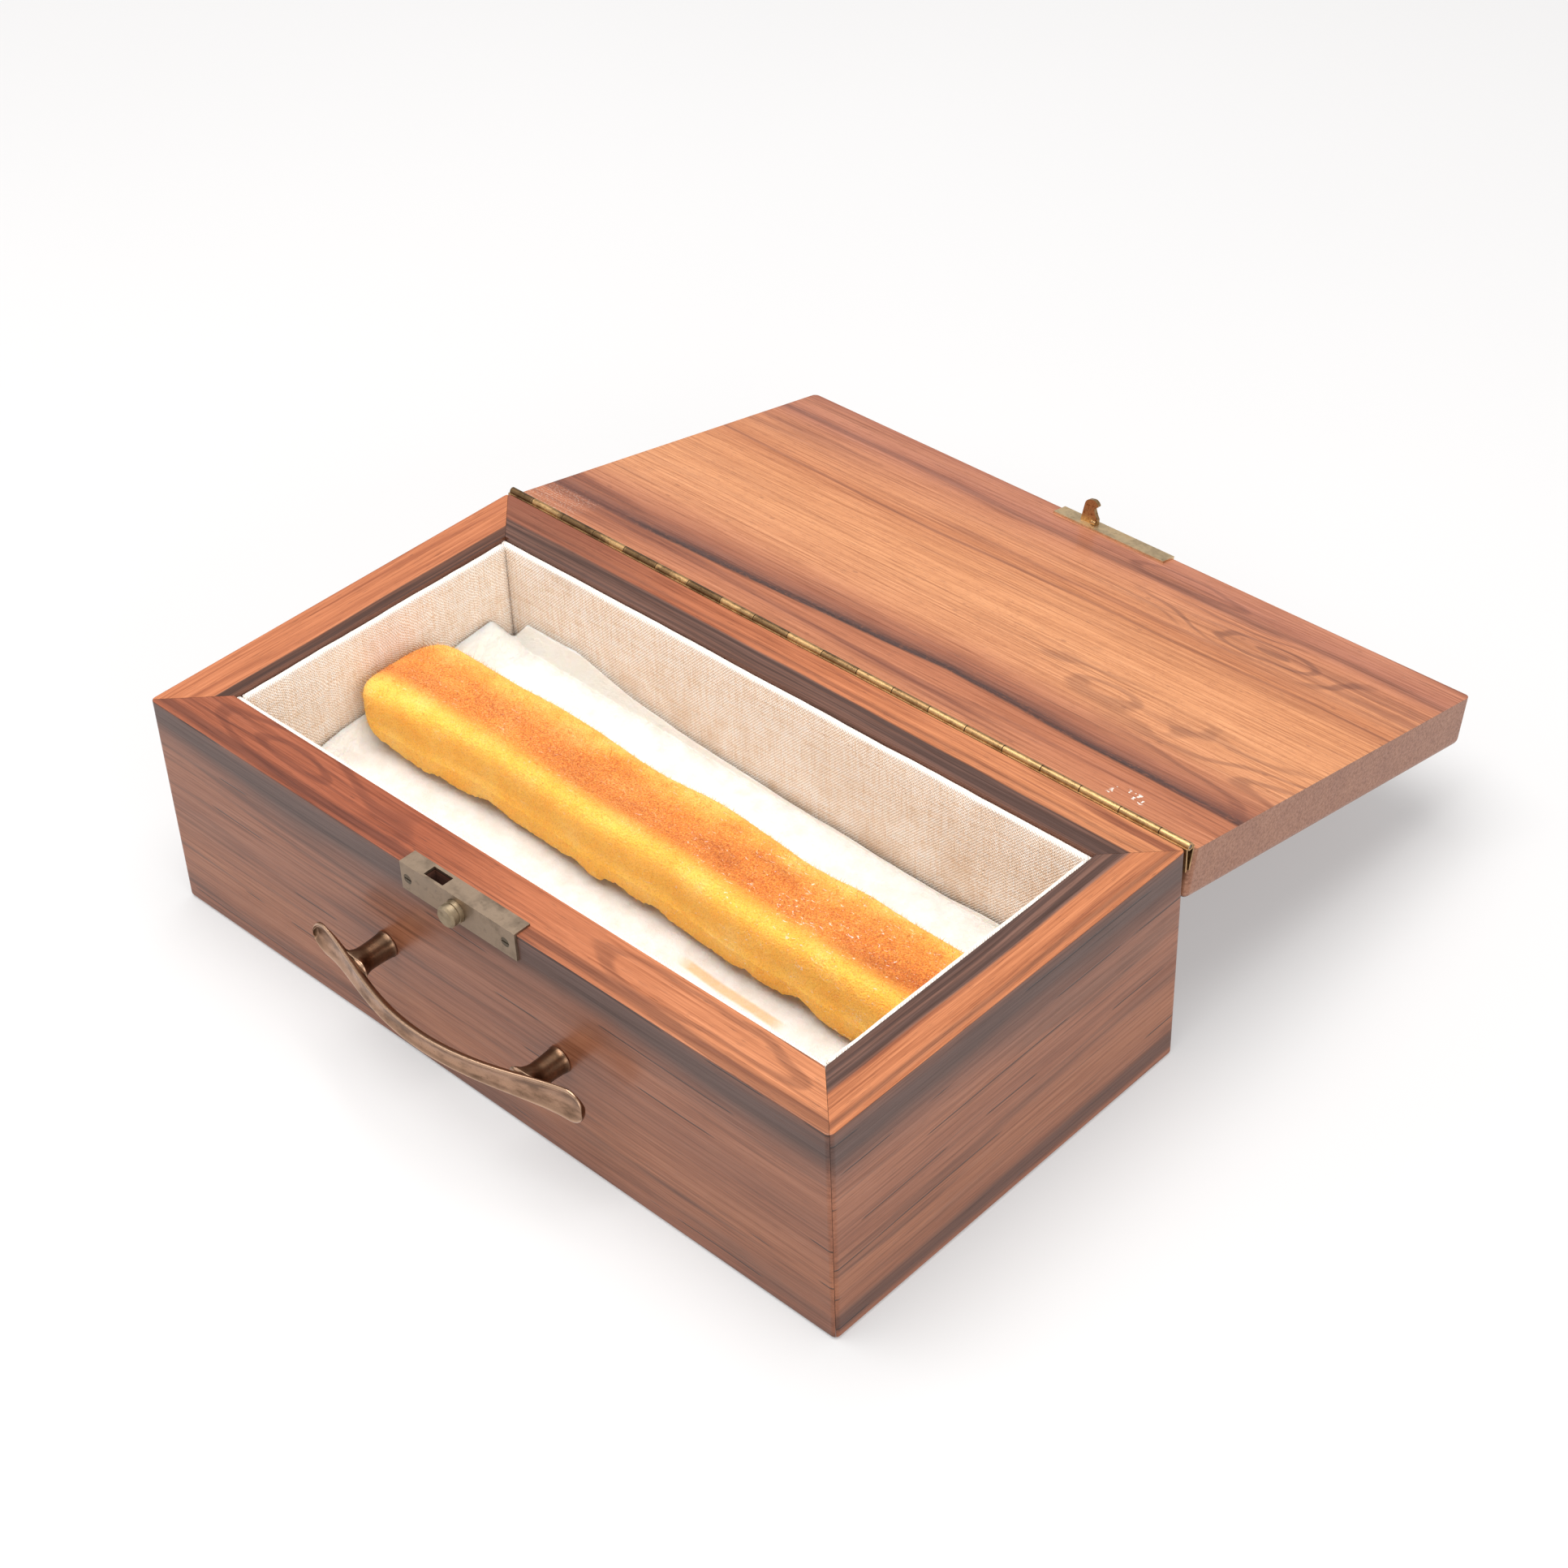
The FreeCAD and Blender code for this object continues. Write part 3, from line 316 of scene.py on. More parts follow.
def right_wall_wood():
    w = Wood("rosewood_right", "y", 3)
    g = w.g
    edge = w.swayed(w.x, 4.0, 2.0)
    rim = rim_streaks(w, tone(206, 134, 92), w.x, tone(140, 80, 56))
    rim = g.stained(rim, g.band(edge, 142.6, 0.2, 1.4), 0.55, tone(96, 62, 52))
    black = g.stained(tone(88, 66, 60), w.lines(w.x, 1.8, 0.44), 0.8, tone(136, 102, 90))
    rim = g.mix(g.step(edge, 134.5, 133.3), rim, black)
    side = face_brown(w, w.z)
    low = w.swayed(w.z, 5.0, 2.0)
    side = g.stained(side, g.band(low, 7.0, 1.6, 3.5), 0.65, tone(70, 48, 42))
    side = g.mix(g.step(low, 4.0, 1.6), side, tone(168, 104, 72))
    colour = w.topped(side, rim)
    return w.done(colour, w.cracks(w.z, 12.0))


def left_wall_wood():
    w = Wood("rosewood_left", "y", 4)
    g = w.g
    edge = w.swayed(w.x, 3.0, 1.6)
    rim = rim_streaks(w, tone(206, 132, 92), w.x, tone(160, 92, 62))
    black = g.stained(tone(82, 58, 50), w.lines(w.x, 1.8, 0.44), 0.8, tone(122, 84, 68))
    rim = g.mix(g.step(edge, -131.2, -130.3), rim, black)
    colour = w.topped(face_brown(w, w.z), rim)
    return w.done(colour, w.cracks(w.z, 14.0))


# Each swirl on the lid: its middle, from the case's middle and from the hinge; its radii; its turns; its strength.
LID_SWIRLS = [((72.0, 58.0), (54.0, 13.0), 1.6, 0.35), ((84.0, 124.0), (60.0, 13.0), 2.0, 0.5),
              ((136.0, 46.0), (66.0, 22.0), 1.5, 0.40), ((50.0, 142.0), (60.0, 10.0), 1.6, 0.4)]


def lid_wood():
    """Inner face: pale heartwood between a black streak near the hinge and purple-brown bands at the far edge."""
    w = Wood("rosewood_lid", "x", 5, shut=True)
    g = w.g
    from_hinge = g.maths("SUBTRACT", BACK, w.y)
    sway = w.swayed(from_hinge, 10.0, 4.0)
    rise = g.ramp(g.step(w.x, -END_X, END_X), [
        (0.0, (0.0, 0, 0, 1)), (0.65, (1, 1, 1, 1)), (1.0, (0.45, 0.45, 0.45, 1))])
    lane = g.maths("MULTIPLY_ADD", rise, -9.0, sway)
    colour = g.ramp(g.maths("DIVIDE", lane, LID_DEPTH), [
        (0.0, tone(204, 136, 100)), (0.08, tone(196, 126, 92)), (0.106, tone(178, 112, 80)),
        (0.112, tone(70, 48, 46)), (0.124, tone(84, 58, 54)), (0.138, tone(136, 88, 72)),
        (0.17, tone(172, 110, 84)), (0.22, tone(204, 138, 102)), (0.27, tone(224, 158, 114)),
        (0.42, tone(232, 166, 118)), (0.58, tone(226, 158, 110)), (0.66, tone(212, 142, 98)),
        (0.72, tone(222, 154, 110)), (0.82, tone(208, 140, 104)), (0.88, tone(190, 126, 102)),
        (0.95, tone(202, 136, 106)), (1.0, tone(180, 116, 92))])
    strong = g.maths("MAXIMUM", g.step(sway, 46.0, 24.0, 0.16, 0.75), g.step(sway, 84.0, 128.0, 0.0, 0.6))
    colour = g.stained(colour, w.lines(from_hinge, 7.0), strong, tone(134, 80, 64))
    thin = g.maths("MULTIPLY_ADD", strong, 0.8, 0.06)
    colour = g.stained(colour, w.lines(g.maths("ADD", from_hinge, 60.0), 1.6, 0.54), thin, tone(104, 60, 48))
    colour = g.stained(colour, g.band(sway, 103.0, 0.1, 1.3), 0.5, tone(128, 76, 60))
    colour = g.stained(colour, g.band(sway, 137.0, 0.4, 3.0), 0.45, tone(112, 70, 62))
    for centre, radii, turns, share in LID_SWIRLS:
        rings = w.swirl((centre[0], centre[1], from_hinge), radii, turns, 3.0)
        colour = g.stained(colour, rings, share, tone(112, 66, 56))
    silk = g.noise(g.scaled(w.vector, (0.30, 0.6, 0.6)), 1.0, 4.0, 0.6, 1.5)
    colour = g.stained(colour, g.step(silk, 0.50, 0.66), 0.24, tone(180, 112, 78))
    edge = g.stained(tone(186, 136, 110), w.lines(w.z, 4.0), 0.5, tone(140, 96, 78))
    end_grain = g.mix(w.tint, tone(156, 108, 88), tone(188, 138, 110))
    edge = g.mix(g.step(g.maths("ABSOLUTE", w.face[0]), 0.6, 0.8), edge, end_grain)
    inside = g.step(w.face[2], -0.5, -0.8)
    colour = g.mix(inside, edge, colour)
    outside = face_brown(w, g.maths("ABSOLUTE", g.maths("MULTIPLY", w.y, 0.9)))
    colour = w.topped(colour, outside)
    near = g.maths("MULTIPLY", g.band(w.x, 114.0, 5.0, 1.5), g.band(from_hinge, 9.0, 3.0, 1.0))
    flecks = g.step(g.noise(g.scaled(w.vector, (0.55, 0.55, 0.55)), 1.0, 1.0), 0.60, 0.63)
    colour = g.stained(colour, g.maths("MULTIPLY", near, flecks), inside, (0.85, 0.85, 0.83, 1))
    dust = g.maths("MULTIPLY", g.band(w.x, -134.0, 8.0, 8.0), g.band(from_hinge, 8.0, 6.0, 6.0))
    dust = g.maths("MULTIPLY", dust, inside)
    powder = g.step(g.noise(g.scaled(w.vector, (1.4, 1.4, 1.4)), 1.0, 4.0, 0.7), 0.5, 0.66)
    colour = g.stained(colour, g.maths("MULTIPLY", dust, powder), 0.55, tone(232, 214, 204))
    chips = g.cells(g.scaled(w.vector, (0.06, 0.12, 0.12)), 1.0)
    colour = g.mix(g.step(chips, 0.09, 0.05, 0.0, 0.35), colour, tone(130, 80, 62))
    return w.done(colour)


def plain_wood():
    w = Wood("rosewood_bottom", "x", 6)
    return w.done(face_brown(w, w.g.maths("ADD", w.y, 20.0)))


# ---- cloth, cotton and foam materials ------------------------------------------------------------------------------

def linen():
    """Beige plain weave with slubs, whiter on the rolled top edge, darker in patches towards the bottom."""
    g = Nodes("linen_weave", roughness=0.95, Sheen_Weight=0.25, Sheen_Roughness=0.6, Specular_IOR_Level=0.15)
    spot = g.where()
    x, y, z = g.split(spot)
    across = g.maths("ADD", x, y)
    bend = g.maths("MULTIPLY", g.noise(spot, 0.09, 2.0), 3.0)
    warp = g.maths("SINE", g.maths("MULTIPLY", g.maths("ADD", across, bend), 2 * math.pi / 1.15))
    weft = g.maths("SINE", g.maths("MULTIPLY", g.maths("ADD", z, bend), 2 * math.pi / 1.15))
    weave = g.maths("MULTIPLY_ADD", g.maths("MULTIPLY", warp, weft), 0.5, 0.5)
    slub = g.noise(g.scaled(spot, (0.12, 0.12, 1.8)), 1.0, 3.0, 0.6)
    slub_up = g.noise(g.scaled(spot, (1.8, 1.8, 0.12)), 1.0, 3.0, 0.6)
    thread = g.maths("ADD", g.maths("MULTIPLY", slub, 0.5), g.maths("MULTIPLY", slub_up, 0.5))
    colour = g.ramp(thread, [(0.38, tone(236, 212, 186, 0.96)), (0.5, tone(254, 242, 228, 0.97)),
                                (0.62, tone(255, 252, 247, 0.98))])
    colour = g.stained(colour, g.step(weave, 0.55, 0.08), 0.75, tone(196, 162, 130))
    fleck = g.step(g.noise(spot, 0.8, 3.0, 0.6), 0.66, 0.72)
    colour = g.stained(colour, fleck, 0.55, tone(176, 138, 104))
    # Darker beige patches, more of them towards the bottom of the card.
    low_patches = g.maths("MULTIPLY", g.step(g.noise(spot, 0.045, 3.0), 0.46, 0.66), g.step(z, 76.0, 44.0))
    colour = g.stained(colour, low_patches, 0.45, tone(222, 186, 148))
    colour = g.mix(g.step(z, 77.4, 79.8, 0.0, 0.75), colour, tone(246, 238, 230))
    g.set("Base Color", colour)
    g.bump(g.maths("MULTIPLY_ADD", thread, 0.8, weave), 0.8, 0.35)
    return g.material


def ochre_cloth():
    g = Nodes("ochre_cloth", roughness=0.9, Sheen_Weight=0.3, Specular_IOR_Level=0.2)
    spot = g.where()
    x, y, _ = g.split(spot)
    warp, weft = (g.maths("SINE", g.maths("MULTIPLY", way, 9.0)) for way in (x, y))
    weave = g.maths("MULTIPLY", warp, weft)
    g.set("Base Color", g.ramp(g.noise(spot, 0.25, 4.0), [(0.3, tone(222, 174, 104)), (0.7, tone(244, 206, 146))]))
    g.bump(weave, 0.4, 0.15)
    return g.material


def batting():
    """White cotton wool: matted fibres, faint cream shadows, an ochre streak near the front; upright parts painted
    brighter as painted light.
    """
    g = Nodes("cotton_batting", roughness=1.0, Sheen_Weight=0.5, Sheen_Roughness=0.8, Specular_IOR_Level=0.05,
              Subsurface_Weight=0.25, Subsurface_Scale=0.003)
    spot = g.where()
    mat = g.noise(spot, 0.8, 8.0, 0.72, 0.6)
    tuft = g.noise(spot, 0.16, 4.0, 0.55)
    colour = g.ramp(tuft, [(0.3, tone(244, 236, 226, 0.76)), (0.6, tone(253, 248, 243, 0.80))])
    # Painted light: the parts of the sheet that stand upright are made brighter, standing in for the light that falls
    # on them.
    colour = g.mix(g.step(g.facing()[2], 0.85, 0.2), colour, tone(255, 250, 243, 0.96))
    x, y, _ = g.split(spot)
    bow = g.maths("MULTIPLY_ADD", g.maths("SUBTRACT", x, 52.0), 0.035, g.maths("ADD", y, 20.5))
    slit = g.maths("MULTIPLY", g.band(bow, 0.0, 1.1, 1.3), g.band(x, 52.0, 16.0, 8.0))
    slit = g.maths("MULTIPLY", slit, g.step(mat, 0.3, 0.5, 0.75, 1.0))
    colour = g.mix(slit, colour, tone(228, 186, 130))
    g.set("Base Color", colour)
    g.set("Roughness", g.step(mat, 0.2, 0.8, 0.95, 1.0))
    g.bump(g.maths("MULTIPLY_ADD", tuft, 2.5, mat), 0.8, 0.9)
    return g.material


def foam():
    """Aged foam: toasted brown crown, yellow-orange flanks, fine open cells and lint; painted shade in the cells and
    low down.
    """
    g = Nodes("toasted_foam", roughness=0.9, Sheen_Weight=0.08, Sheen_Roughness=0.7, Specular_IOR_Level=0.05,
              Subsurface_Weight=0.5, Subsurface_Scale=0.005)
    spot = g.where()
    x, y, z = g.split(spot)
    cells = g.cells(spot, 1.5)
    grit = g.noise(spot, 1.6, 6.0, 0.7)
    cloud = g.noise(spot, 0.07, 4.0, 0.6)
    patch = g.noise(g.scaled(spot, (0.02, 0.06, 0.03)), 1.0, 3.0, 0.6)
    upward = g.step(g.facing()[2], 0.35, 0.85)
    crest = g.step(g.maths("MULTIPLY_ADD", grit, 5.0, y), -10.0, -1.0)
    back = g.step(g.maths("MULTIPLY_ADD", cloud, 9.0, y), 25.0, 8.0, 0.15, 1.0)
    toast = g.maths("MULTIPLY", g.maths("MULTIPLY", upward, crest), back)
    toast = g.maths("MULTIPLY", toast, g.step(patch, 0.28, 0.52, 0.78, 1.0))
    toast = g.maths("MULTIPLY", toast, g.step(grit, 0.3, 0.6, 1.0, 0.72))
    flank = g.ramp(g.maths("MULTIPLY_ADD", cloud, 0.6, g.maths("MULTIPLY", grit, 0.4)), [
        (0.32, tone(250, 170, 58, 0.97)), (0.5, tone(254, 189, 78, 0.99)), (0.68, tone(255, 205, 112, 1.0))])
    colour = g.mix(toast, flank, g.ramp(grit, [
        (0.32, tone(166, 66, 18)), (0.5, tone(204, 92, 32)), (0.68, tone(236, 134, 62))]))
    burnt = g.maths("MULTIPLY", g.maths("MULTIPLY", toast, toast), g.step(patch, 0.46, 0.62))
    burnt = g.maths("MULTIPLY", burnt, g.step(x, -60.0, 40.0, 0.25, 1.0))
    colour = g.stained(colour, burnt, 0.8, tone(146, 58, 20))
    # Painted shade: the hollows of the open cells are darkened.
    painted_cell_shade = g.step(cells, 0.5, 0.2)
    colour = g.stained(colour, painted_cell_shade, 0.32, tone(206, 112, 44))
    grain = g.noise(spot, 2.6, 3.0, 0.7)
    colour = g.mix(g.step(grain, 0.50, 0.66, 0.0, 0.3), colour, tone(255, 208, 136))
    # Painted shade: the strip is darkened in grainy patches towards its lower edge, standing in for the shade under its
    # ragged edge.
    painted_low_shade = g.step(z, 50.0, 38.0)
    colour = g.mix(g.maths("MULTIPLY", painted_low_shade, g.step(grit, 0.42, 0.6, 0.0, 0.4)), colour, tone(220, 130, 50))
    lint = g.noise(g.scaled(spot, (0.28, 0.6, 0.6)), 1.0, 3.0, 0.6, 2.0)
    lint = g.maths("MULTIPLY", g.step(lint, 0.635, 0.69), g.step(x, -20.0, 60.0, 0.3, 1.0))
    colour = g.stained(colour, lint, 0.7, tone(255, 240, 224))
    g.set("Base Color", colour)
    g.bump(g.maths("MULTIPLY_ADD", grit, 0.9, cells), 0.7, 0.5)
    return g.material


def fuzz():
    """The foam's loose fibres, browner along the crown."""
    g = Nodes("foam_fuzz", roughness=0.9, Sheen_Weight=0.2, Specular_IOR_Level=0.05,
              Subsurface_Weight=0.4, Subsurface_Scale=0.003)
    _, y, z = g.split(g.where())
    from_crown = g.maths("ABSOLUTE", g.maths("SUBTRACT", y, 4.0))
    high = g.maths("MULTIPLY", g.step(z, 58.0, 63.0), g.step(from_crown, 15.0, 8.0))
    g.set("Base Color", g.mix(high, tone(255, 188, 92), tone(216, 122, 52)))
    return g.material


# ---- metals --------------------------------------------------------------------------------------------------------

def metal(name, bright, dull, dark, roughness, wear_scale, shut=False, brushed=(0.4, 6.0, 6.0)):
    """Tarnished metal: worn highlights, dull film, dark grime in patches."""
    g = Nodes(name, roughness=roughness, Metallic=1.0)
    spot = g.where_shut() if shut else g.where()
    film = g.noise(spot, wear_scale, 6.0, 0.65)
    grime = g.noise(spot, wear_scale * 2.7, 5.0, 0.7)
    colour = g.ramp(film, [(0.34, dull), (0.52, bright), (0.7, dull)])
    colour = g.mix(g.step(grime, 0.54, 0.72, 0.0, 0.55), colour, dark)
    scratch = g.noise(g.scaled(spot, brushed), 1.0, 3.0, 0.6)
    g.set("Base Color", colour)
    worn = g.step(film, 0.3, 0.7, roughness - 0.08, roughness + 0.14)
    g.set("Roughness", g.maths("ADD", worn, g.maths("MULTIPLY", scratch, 0.08)))
    g.bump(g.maths("MULTIPLY_ADD", scratch, 0.5, grime), 0.25, 0.06)
    return g


def hinge_metal(name, shut):
    """Brass hinge: knuckles tarnished by turns with seams between them, and patches to the left."""
    g = metal(name, tone(206, 166, 116), tone(166, 130, 88), tone(104, 78, 52), 0.36, 0.2, shut)
    x, y, z = g.split(g.where())
    turn = g.maths("SINE", g.maths("MULTIPLY", x, math.pi / KNUCKLE_PITCH))
    behind, above = (g.maths("POWER", g.maths("SUBTRACT", way, pin), 2.0) for way, pin in ((y, PIN.y), (z, PIN.z)))
    barrel = g.step(g.maths("SQRT", g.maths("ADD", behind, above)), BARREL_RADIUS + 0.4, BARREL_RADIUS + 0.1)
    tarnish = g.maths("MULTIPLY", g.step(turn, -0.2, 0.2), g.step(x, 90.0, -60.0, 0.15, 0.85))
    tarnish = g.maths("MULTIPLY", tarnish, barrel)
    spots = g.maths("MULTIPLY", g.step(g.noise(g.where(), 0.12, 4.0, 0.6), 0.45, 0.62), g.step(x, 60.0, -100.0))
    tarnish = g.maths("MAXIMUM", tarnish, g.maths("MULTIPLY", spots, 0.8))
    place = g.maths("FRACT", g.maths("DIVIDE", x, KNUCKLE_PITCH))
    seam = g.step(g.maths("ABSOLUTE", g.maths("SUBTRACT", place, 0.5)), 0.480, 0.494)
    tarnish = g.maths("MAXIMUM", tarnish, g.maths("MULTIPLY", seam, barrel))
    linked = g.shader.inputs["Base Color"].links[0].from_socket
    g.set("Base Color", g.stained(linked, tarnish, 0.9, tone(76, 56, 40)))
    return g.material


def bronze():
    """Antique bronze: dark in the hollows, pinkish gold where hands have worn it, outward faces lighter by wear and
    painted light.
    """
    g = Nodes("antique_bronze", roughness=0.34, Metallic=1.0)
    spot = g.where()
    patina = g.noise(g.scaled(spot, (0.08, 0.25, 0.25)), 1.0, 5.0, 0.65)
    fine = g.noise(spot, 0.9, 5.0, 0.7)
    wear = g.step(g.add("ShaderNodeNewGeometry").outputs["Pointiness"], 0.49, 0.56)
    colour = g.ramp(patina, [(0.34, tone(66, 48, 34)), (0.5, tone(94, 70, 50)), (0.66, tone(136, 102, 76))])
    _, inward, _ = g.facing()
    # Partly wear and partly painted light: the faces that look out from the wall are made lighter, as where hands rub
    # them and where the light falls on them.
    worn = g.maths("MULTIPLY", g.step(inward, -0.2, -0.85), g.step(patina, 0.35, 0.6, 0.35, 0.75))
    colour = g.mix(worn, colour, tone(196, 156, 130))
    colour = g.stained(colour, wear, 0.5, tone(226, 188, 158))
    colour = g.mix(g.step(fine, 0.60, 0.72, 0.0, 0.5), colour, tone(74, 52, 38))
    g.set("Base Color", colour)
    g.set("Roughness", g.step(patina, 0.3, 0.7, 0.40, 0.26))
    g.bump(g.maths("MULTIPLY_ADD", patina, 0.6, fine), 0.22, 0.12)
    return g.material


def dress(node, material):
    """Gives a carried-over CAD node its material and smooth shading between its flats."""
    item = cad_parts[node]
    item.data.materials.clear()
    item.data.materials.append(material)
    item.data.polygons.foreach_set("use_smooth", [True] * len(item.data.polygons))
    item.data.set_sharp_from_angle(angle=SHARP_ANGLE)


# ---- mesh helpers --------------------------------------------------------------------------------------------------

def mesh_piece(name, points, faces, material, smooth=True):
    mesh = bpy.data.meshes.new(name)
    mesh.from_pydata([tuple(c * MM for c in p) for p in points], [], faces)
    mesh.update()
    item = bpy.data.objects.new(name, mesh)
    bpy.context.scene.collection.objects.link(item)
    mesh.materials.append(material)
    if smooth:
        mesh.polygons.foreach_set("use_smooth", [True] * len(mesh.polygons))
    return item


def face_outward(item):
    """Turns the faces of a closed mesh outward."""
    fix = bmesh.new()
    fix.from_mesh(item.data)
    bmesh.ops.recalc_face_normals(fix, faces=fix.faces)
    fix.to_mesh(item.data)
    fix.free()


def ruffle(x, y, z, scale):
    return noise.noise(Vector((x * scale, y * scale, z * scale)))


def lathed(profile, centre, around):
    """Rings of points for a profile of (distance out of the wall, radius) about a level axis."""
    points = []
    for out, radius in profile:
        for step in range(around):
            angle = 2 * math.pi * step / around
            points.append((centre[0] + radius * math.cos(angle), centre[1] - out, centre[2] + radius * math.sin(angle)))
    return points


def tube_faces(rings, around, first=0):
    """Faces of a closed tube through rings of points, with both ends capped."""
    faces = []
    for ring in range(rings - 1):
        for step in range(around):
            after = (step + 1) % around
            a, b = first + ring * around, first + (ring + 1) * around
            faces.append((a + step, a + after, b + after, b + step))
    faces.append(tuple(first + step for step in reversed(range(around))))
    faces.append(tuple(first + (rings - 1) * around + step for step in range(around)))
    return faces


# ---- handle --------------------------------------------------------------------------------------------------------

HANDLE_AXIS, HANDLE_HALF, POST_X = 41.3, 59.2, 38.0


def bow_reach(x):
    """How far the bow's front stands out of the wall at x."""
    s = abs(x) / 40.0
    return 22.7 - 8.5 * s ** 2 + 0.5 * s ** 4 + 0.51 * s ** 6


def bow_width(x):
    """Half height of the bow's front at x, rounded off at the leaf's end."""
    s = abs(x) / 40.0
    half = (6.9 + 2.6 * s ** 2 + 0.3 * s ** 4) / 2
    left = HANDLE_HALF - abs(x)
    if left < half:
        half *= math.sqrt(max(0.0, 1 - (1 - left / half) ** 2))
    return max(half, 0.05)


def handle_piece(material):
    """Bow with a trough between thin raised rims, a groove under the top rim, and flared round posts."""
    shape = [(-1.0, 0.55), (-0.97, 0.12), (-0.90, 0.0), (-0.80, 0.10), (-0.62, 0.62), (-0.3, 0.95), (0.0, 1.05),
             (0.3, 0.95), (0.56, 0.62), (0.66, 0.40), (0.70, 0.55), (0.75, 0.32), (0.80, 0.10), (0.90, 0.0),
             (0.97, 0.12), (1.0, 0.55),
             (0.93, 1.5), (0.72, 2.4), (0.38, 2.95), (0.0, 3.1), (-0.38, 2.95), (-0.72, 2.4), (-0.93, 1.5)]
    stations = [HANDLE_HALF * math.sin(math.pi / 2 * t) for t in np.linspace(-1, 1, 121)]
    points = []
    for x in stations:
        slope = (bow_reach(x + 0.05) - bow_reach(x - 0.05)) / 0.1
        normal = Vector((-slope, -1.0)).normalized()
        flat = min(1.0, max(0.0, (abs(x) - 34.0) / 20.0))
        thick = 1.0 - 0.32 * flat
        half = bow_width(x)
        end = min(1.0, half / 3.0)
        for across, deep in shape:
            hollow = deep * thick if deep > 1.2 else deep * (1.0 + 0.5 * flat) * (0.4 + 0.6 * end)
            points.append((x - normal.x * hollow * end, FRONT - bow_reach(x) - normal.y * hollow * end,
                           HANDLE_AXIS + across * half))
    faces = tube_faces(len(stations), len(shape))
    around = 32
    for side in (-1, 1):
        centre = (side * POST_X, FRONT, HANDLE_AXIS)
        top = bow_reach(POST_X) - 1.9
        profile = [(0.0, 4.5), (0.5, 4.6), (1.0, 4.4), (2.2, 4.25), (5.0, 4.1), (8.0, 4.05), (top - 4.2, 4.1),
                   (top - 2.6, 4.5), (top - 1.4, 5.0), (top - 0.4, 6.2), (top, 6.6)]
        first = len(points)
        ring = lathed(profile, centre, around)
        for index, (x, y, z) in enumerate(ring):
            out, radius = profile[index // around]
            limit = bow_width(x) * 0.93
            if radius > 4.2 and out > 3:
                z = HANDLE_AXIS + max(-limit, min(limit, z - HANDLE_AXIS))
                y = FRONT - min(-(y - FRONT), bow_reach(x) - 1.5)
            ring[index] = (x, y, z)
        points += ring
        faces += tube_faces(len(profile), around, first)
    item = mesh_piece("bow_handle", points, faces, material)
    face_outward(item)
    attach(item, CASE_BODY)
    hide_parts("handle")


# ---- linings -------------------------------------------------------------------------------------------------------

def card_piece(node, material, seed):
    """A cloth-covered card: gently wavy faces and a soft rolled top edge."""
    low, high = (c * 1000 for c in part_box(node))
    long_axis = 0 if high.x - low.x > high.y - low.y else 1
    thin_axis = 1 - long_axis
    thick = (high[thin_axis] - low[thin_axis]) / 2
    middle = (high[thin_axis] + low[thin_axis]) / 2
    loop = [(-1.0, 0.0), (-1.0, 0.5), (-1.0, 0.9), (-1.0, 1.0)]
    roll = [(-math.cos(a), math.sin(a)) for a in np.linspace(0, math.pi, 9)][1:-1]
    around = []
    for side, share in loop:
        around.append((side, share, 0.0))
    for side, up in roll:
        around.append((side, 1.0, up))
    for side, share in reversed(loop):
        around.append((1.0, share, 0.0))
    count = 120 if long_axis == 0 else 60
    points = []
    for u in np.linspace(low[long_axis] + 0.05, high[long_axis] - 0.05, count):
        droop = 0.35 * ruffle(u, seed, 0.0, 0.035) + 0.12 * ruffle(u, seed, 3.0, 0.2)
        top = high.z - thick - 0.45 + droop
        for side, share, up in around:
            z = low.z + (top - low.z) * share + up * thick
            bulge = 0.0 if share == 0.0 else 0.10 * ruffle(u, z, seed, 0.06)
            t = middle + side * thick * 0.97 + (bulge if abs(side) < 1 else min(0.0, bulge) * side)
            points.append((u, t, z) if long_axis == 0 else (t, u, z))
    faces = tube_faces(count, len(around))
    item = mesh_piece(node + "_cloth", points, faces, material)
    face_outward(item)
    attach(item, CASE_BODY)
    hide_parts(node)


# ---- filling -------------------------------------------------------------------------------------------------------

HALF_X, HALF_Y = 123.2, 55.2


def pad_top(x):
    """Height of the ochre pad at x; it falls to the right."""
    return 38.0 - 6.0 * (x + HALF_X) / (2 * HALF_X)


def slab_from_grid(name, top, bottom, us, vs, material):
    """A closed slab between two height fields over a grid."""
    columns, rows = len(us), len(vs)
    points = [top(u, v) for u in us for v in vs] + [bottom(u, v) for u in us for v in vs]
    total = columns * rows
    faces = []
    for i in range(columns - 1):
        for j in range(rows - 1):
            a, b, c, d = i * rows + j, (i + 1) * rows + j, (i + 1) * rows + j + 1, i * rows + j + 1
            faces.append((a, b, c, d))
            faces.append((d + total, c + total, b + total, a + total))
    rim = [i * rows for i in range(columns)] + [(columns - 1) * rows + j for j in range(1, rows)]
    rim += [i * rows + rows - 1 for i in range(columns - 2, -1, -1)] + [j for j in range(rows - 2, 0, -1)]
    for here, after in zip(rim, rim[1:] + rim[:1]):
        faces.append((after, here, here + total, after + total))
    return mesh_piece(name, points, faces, material)


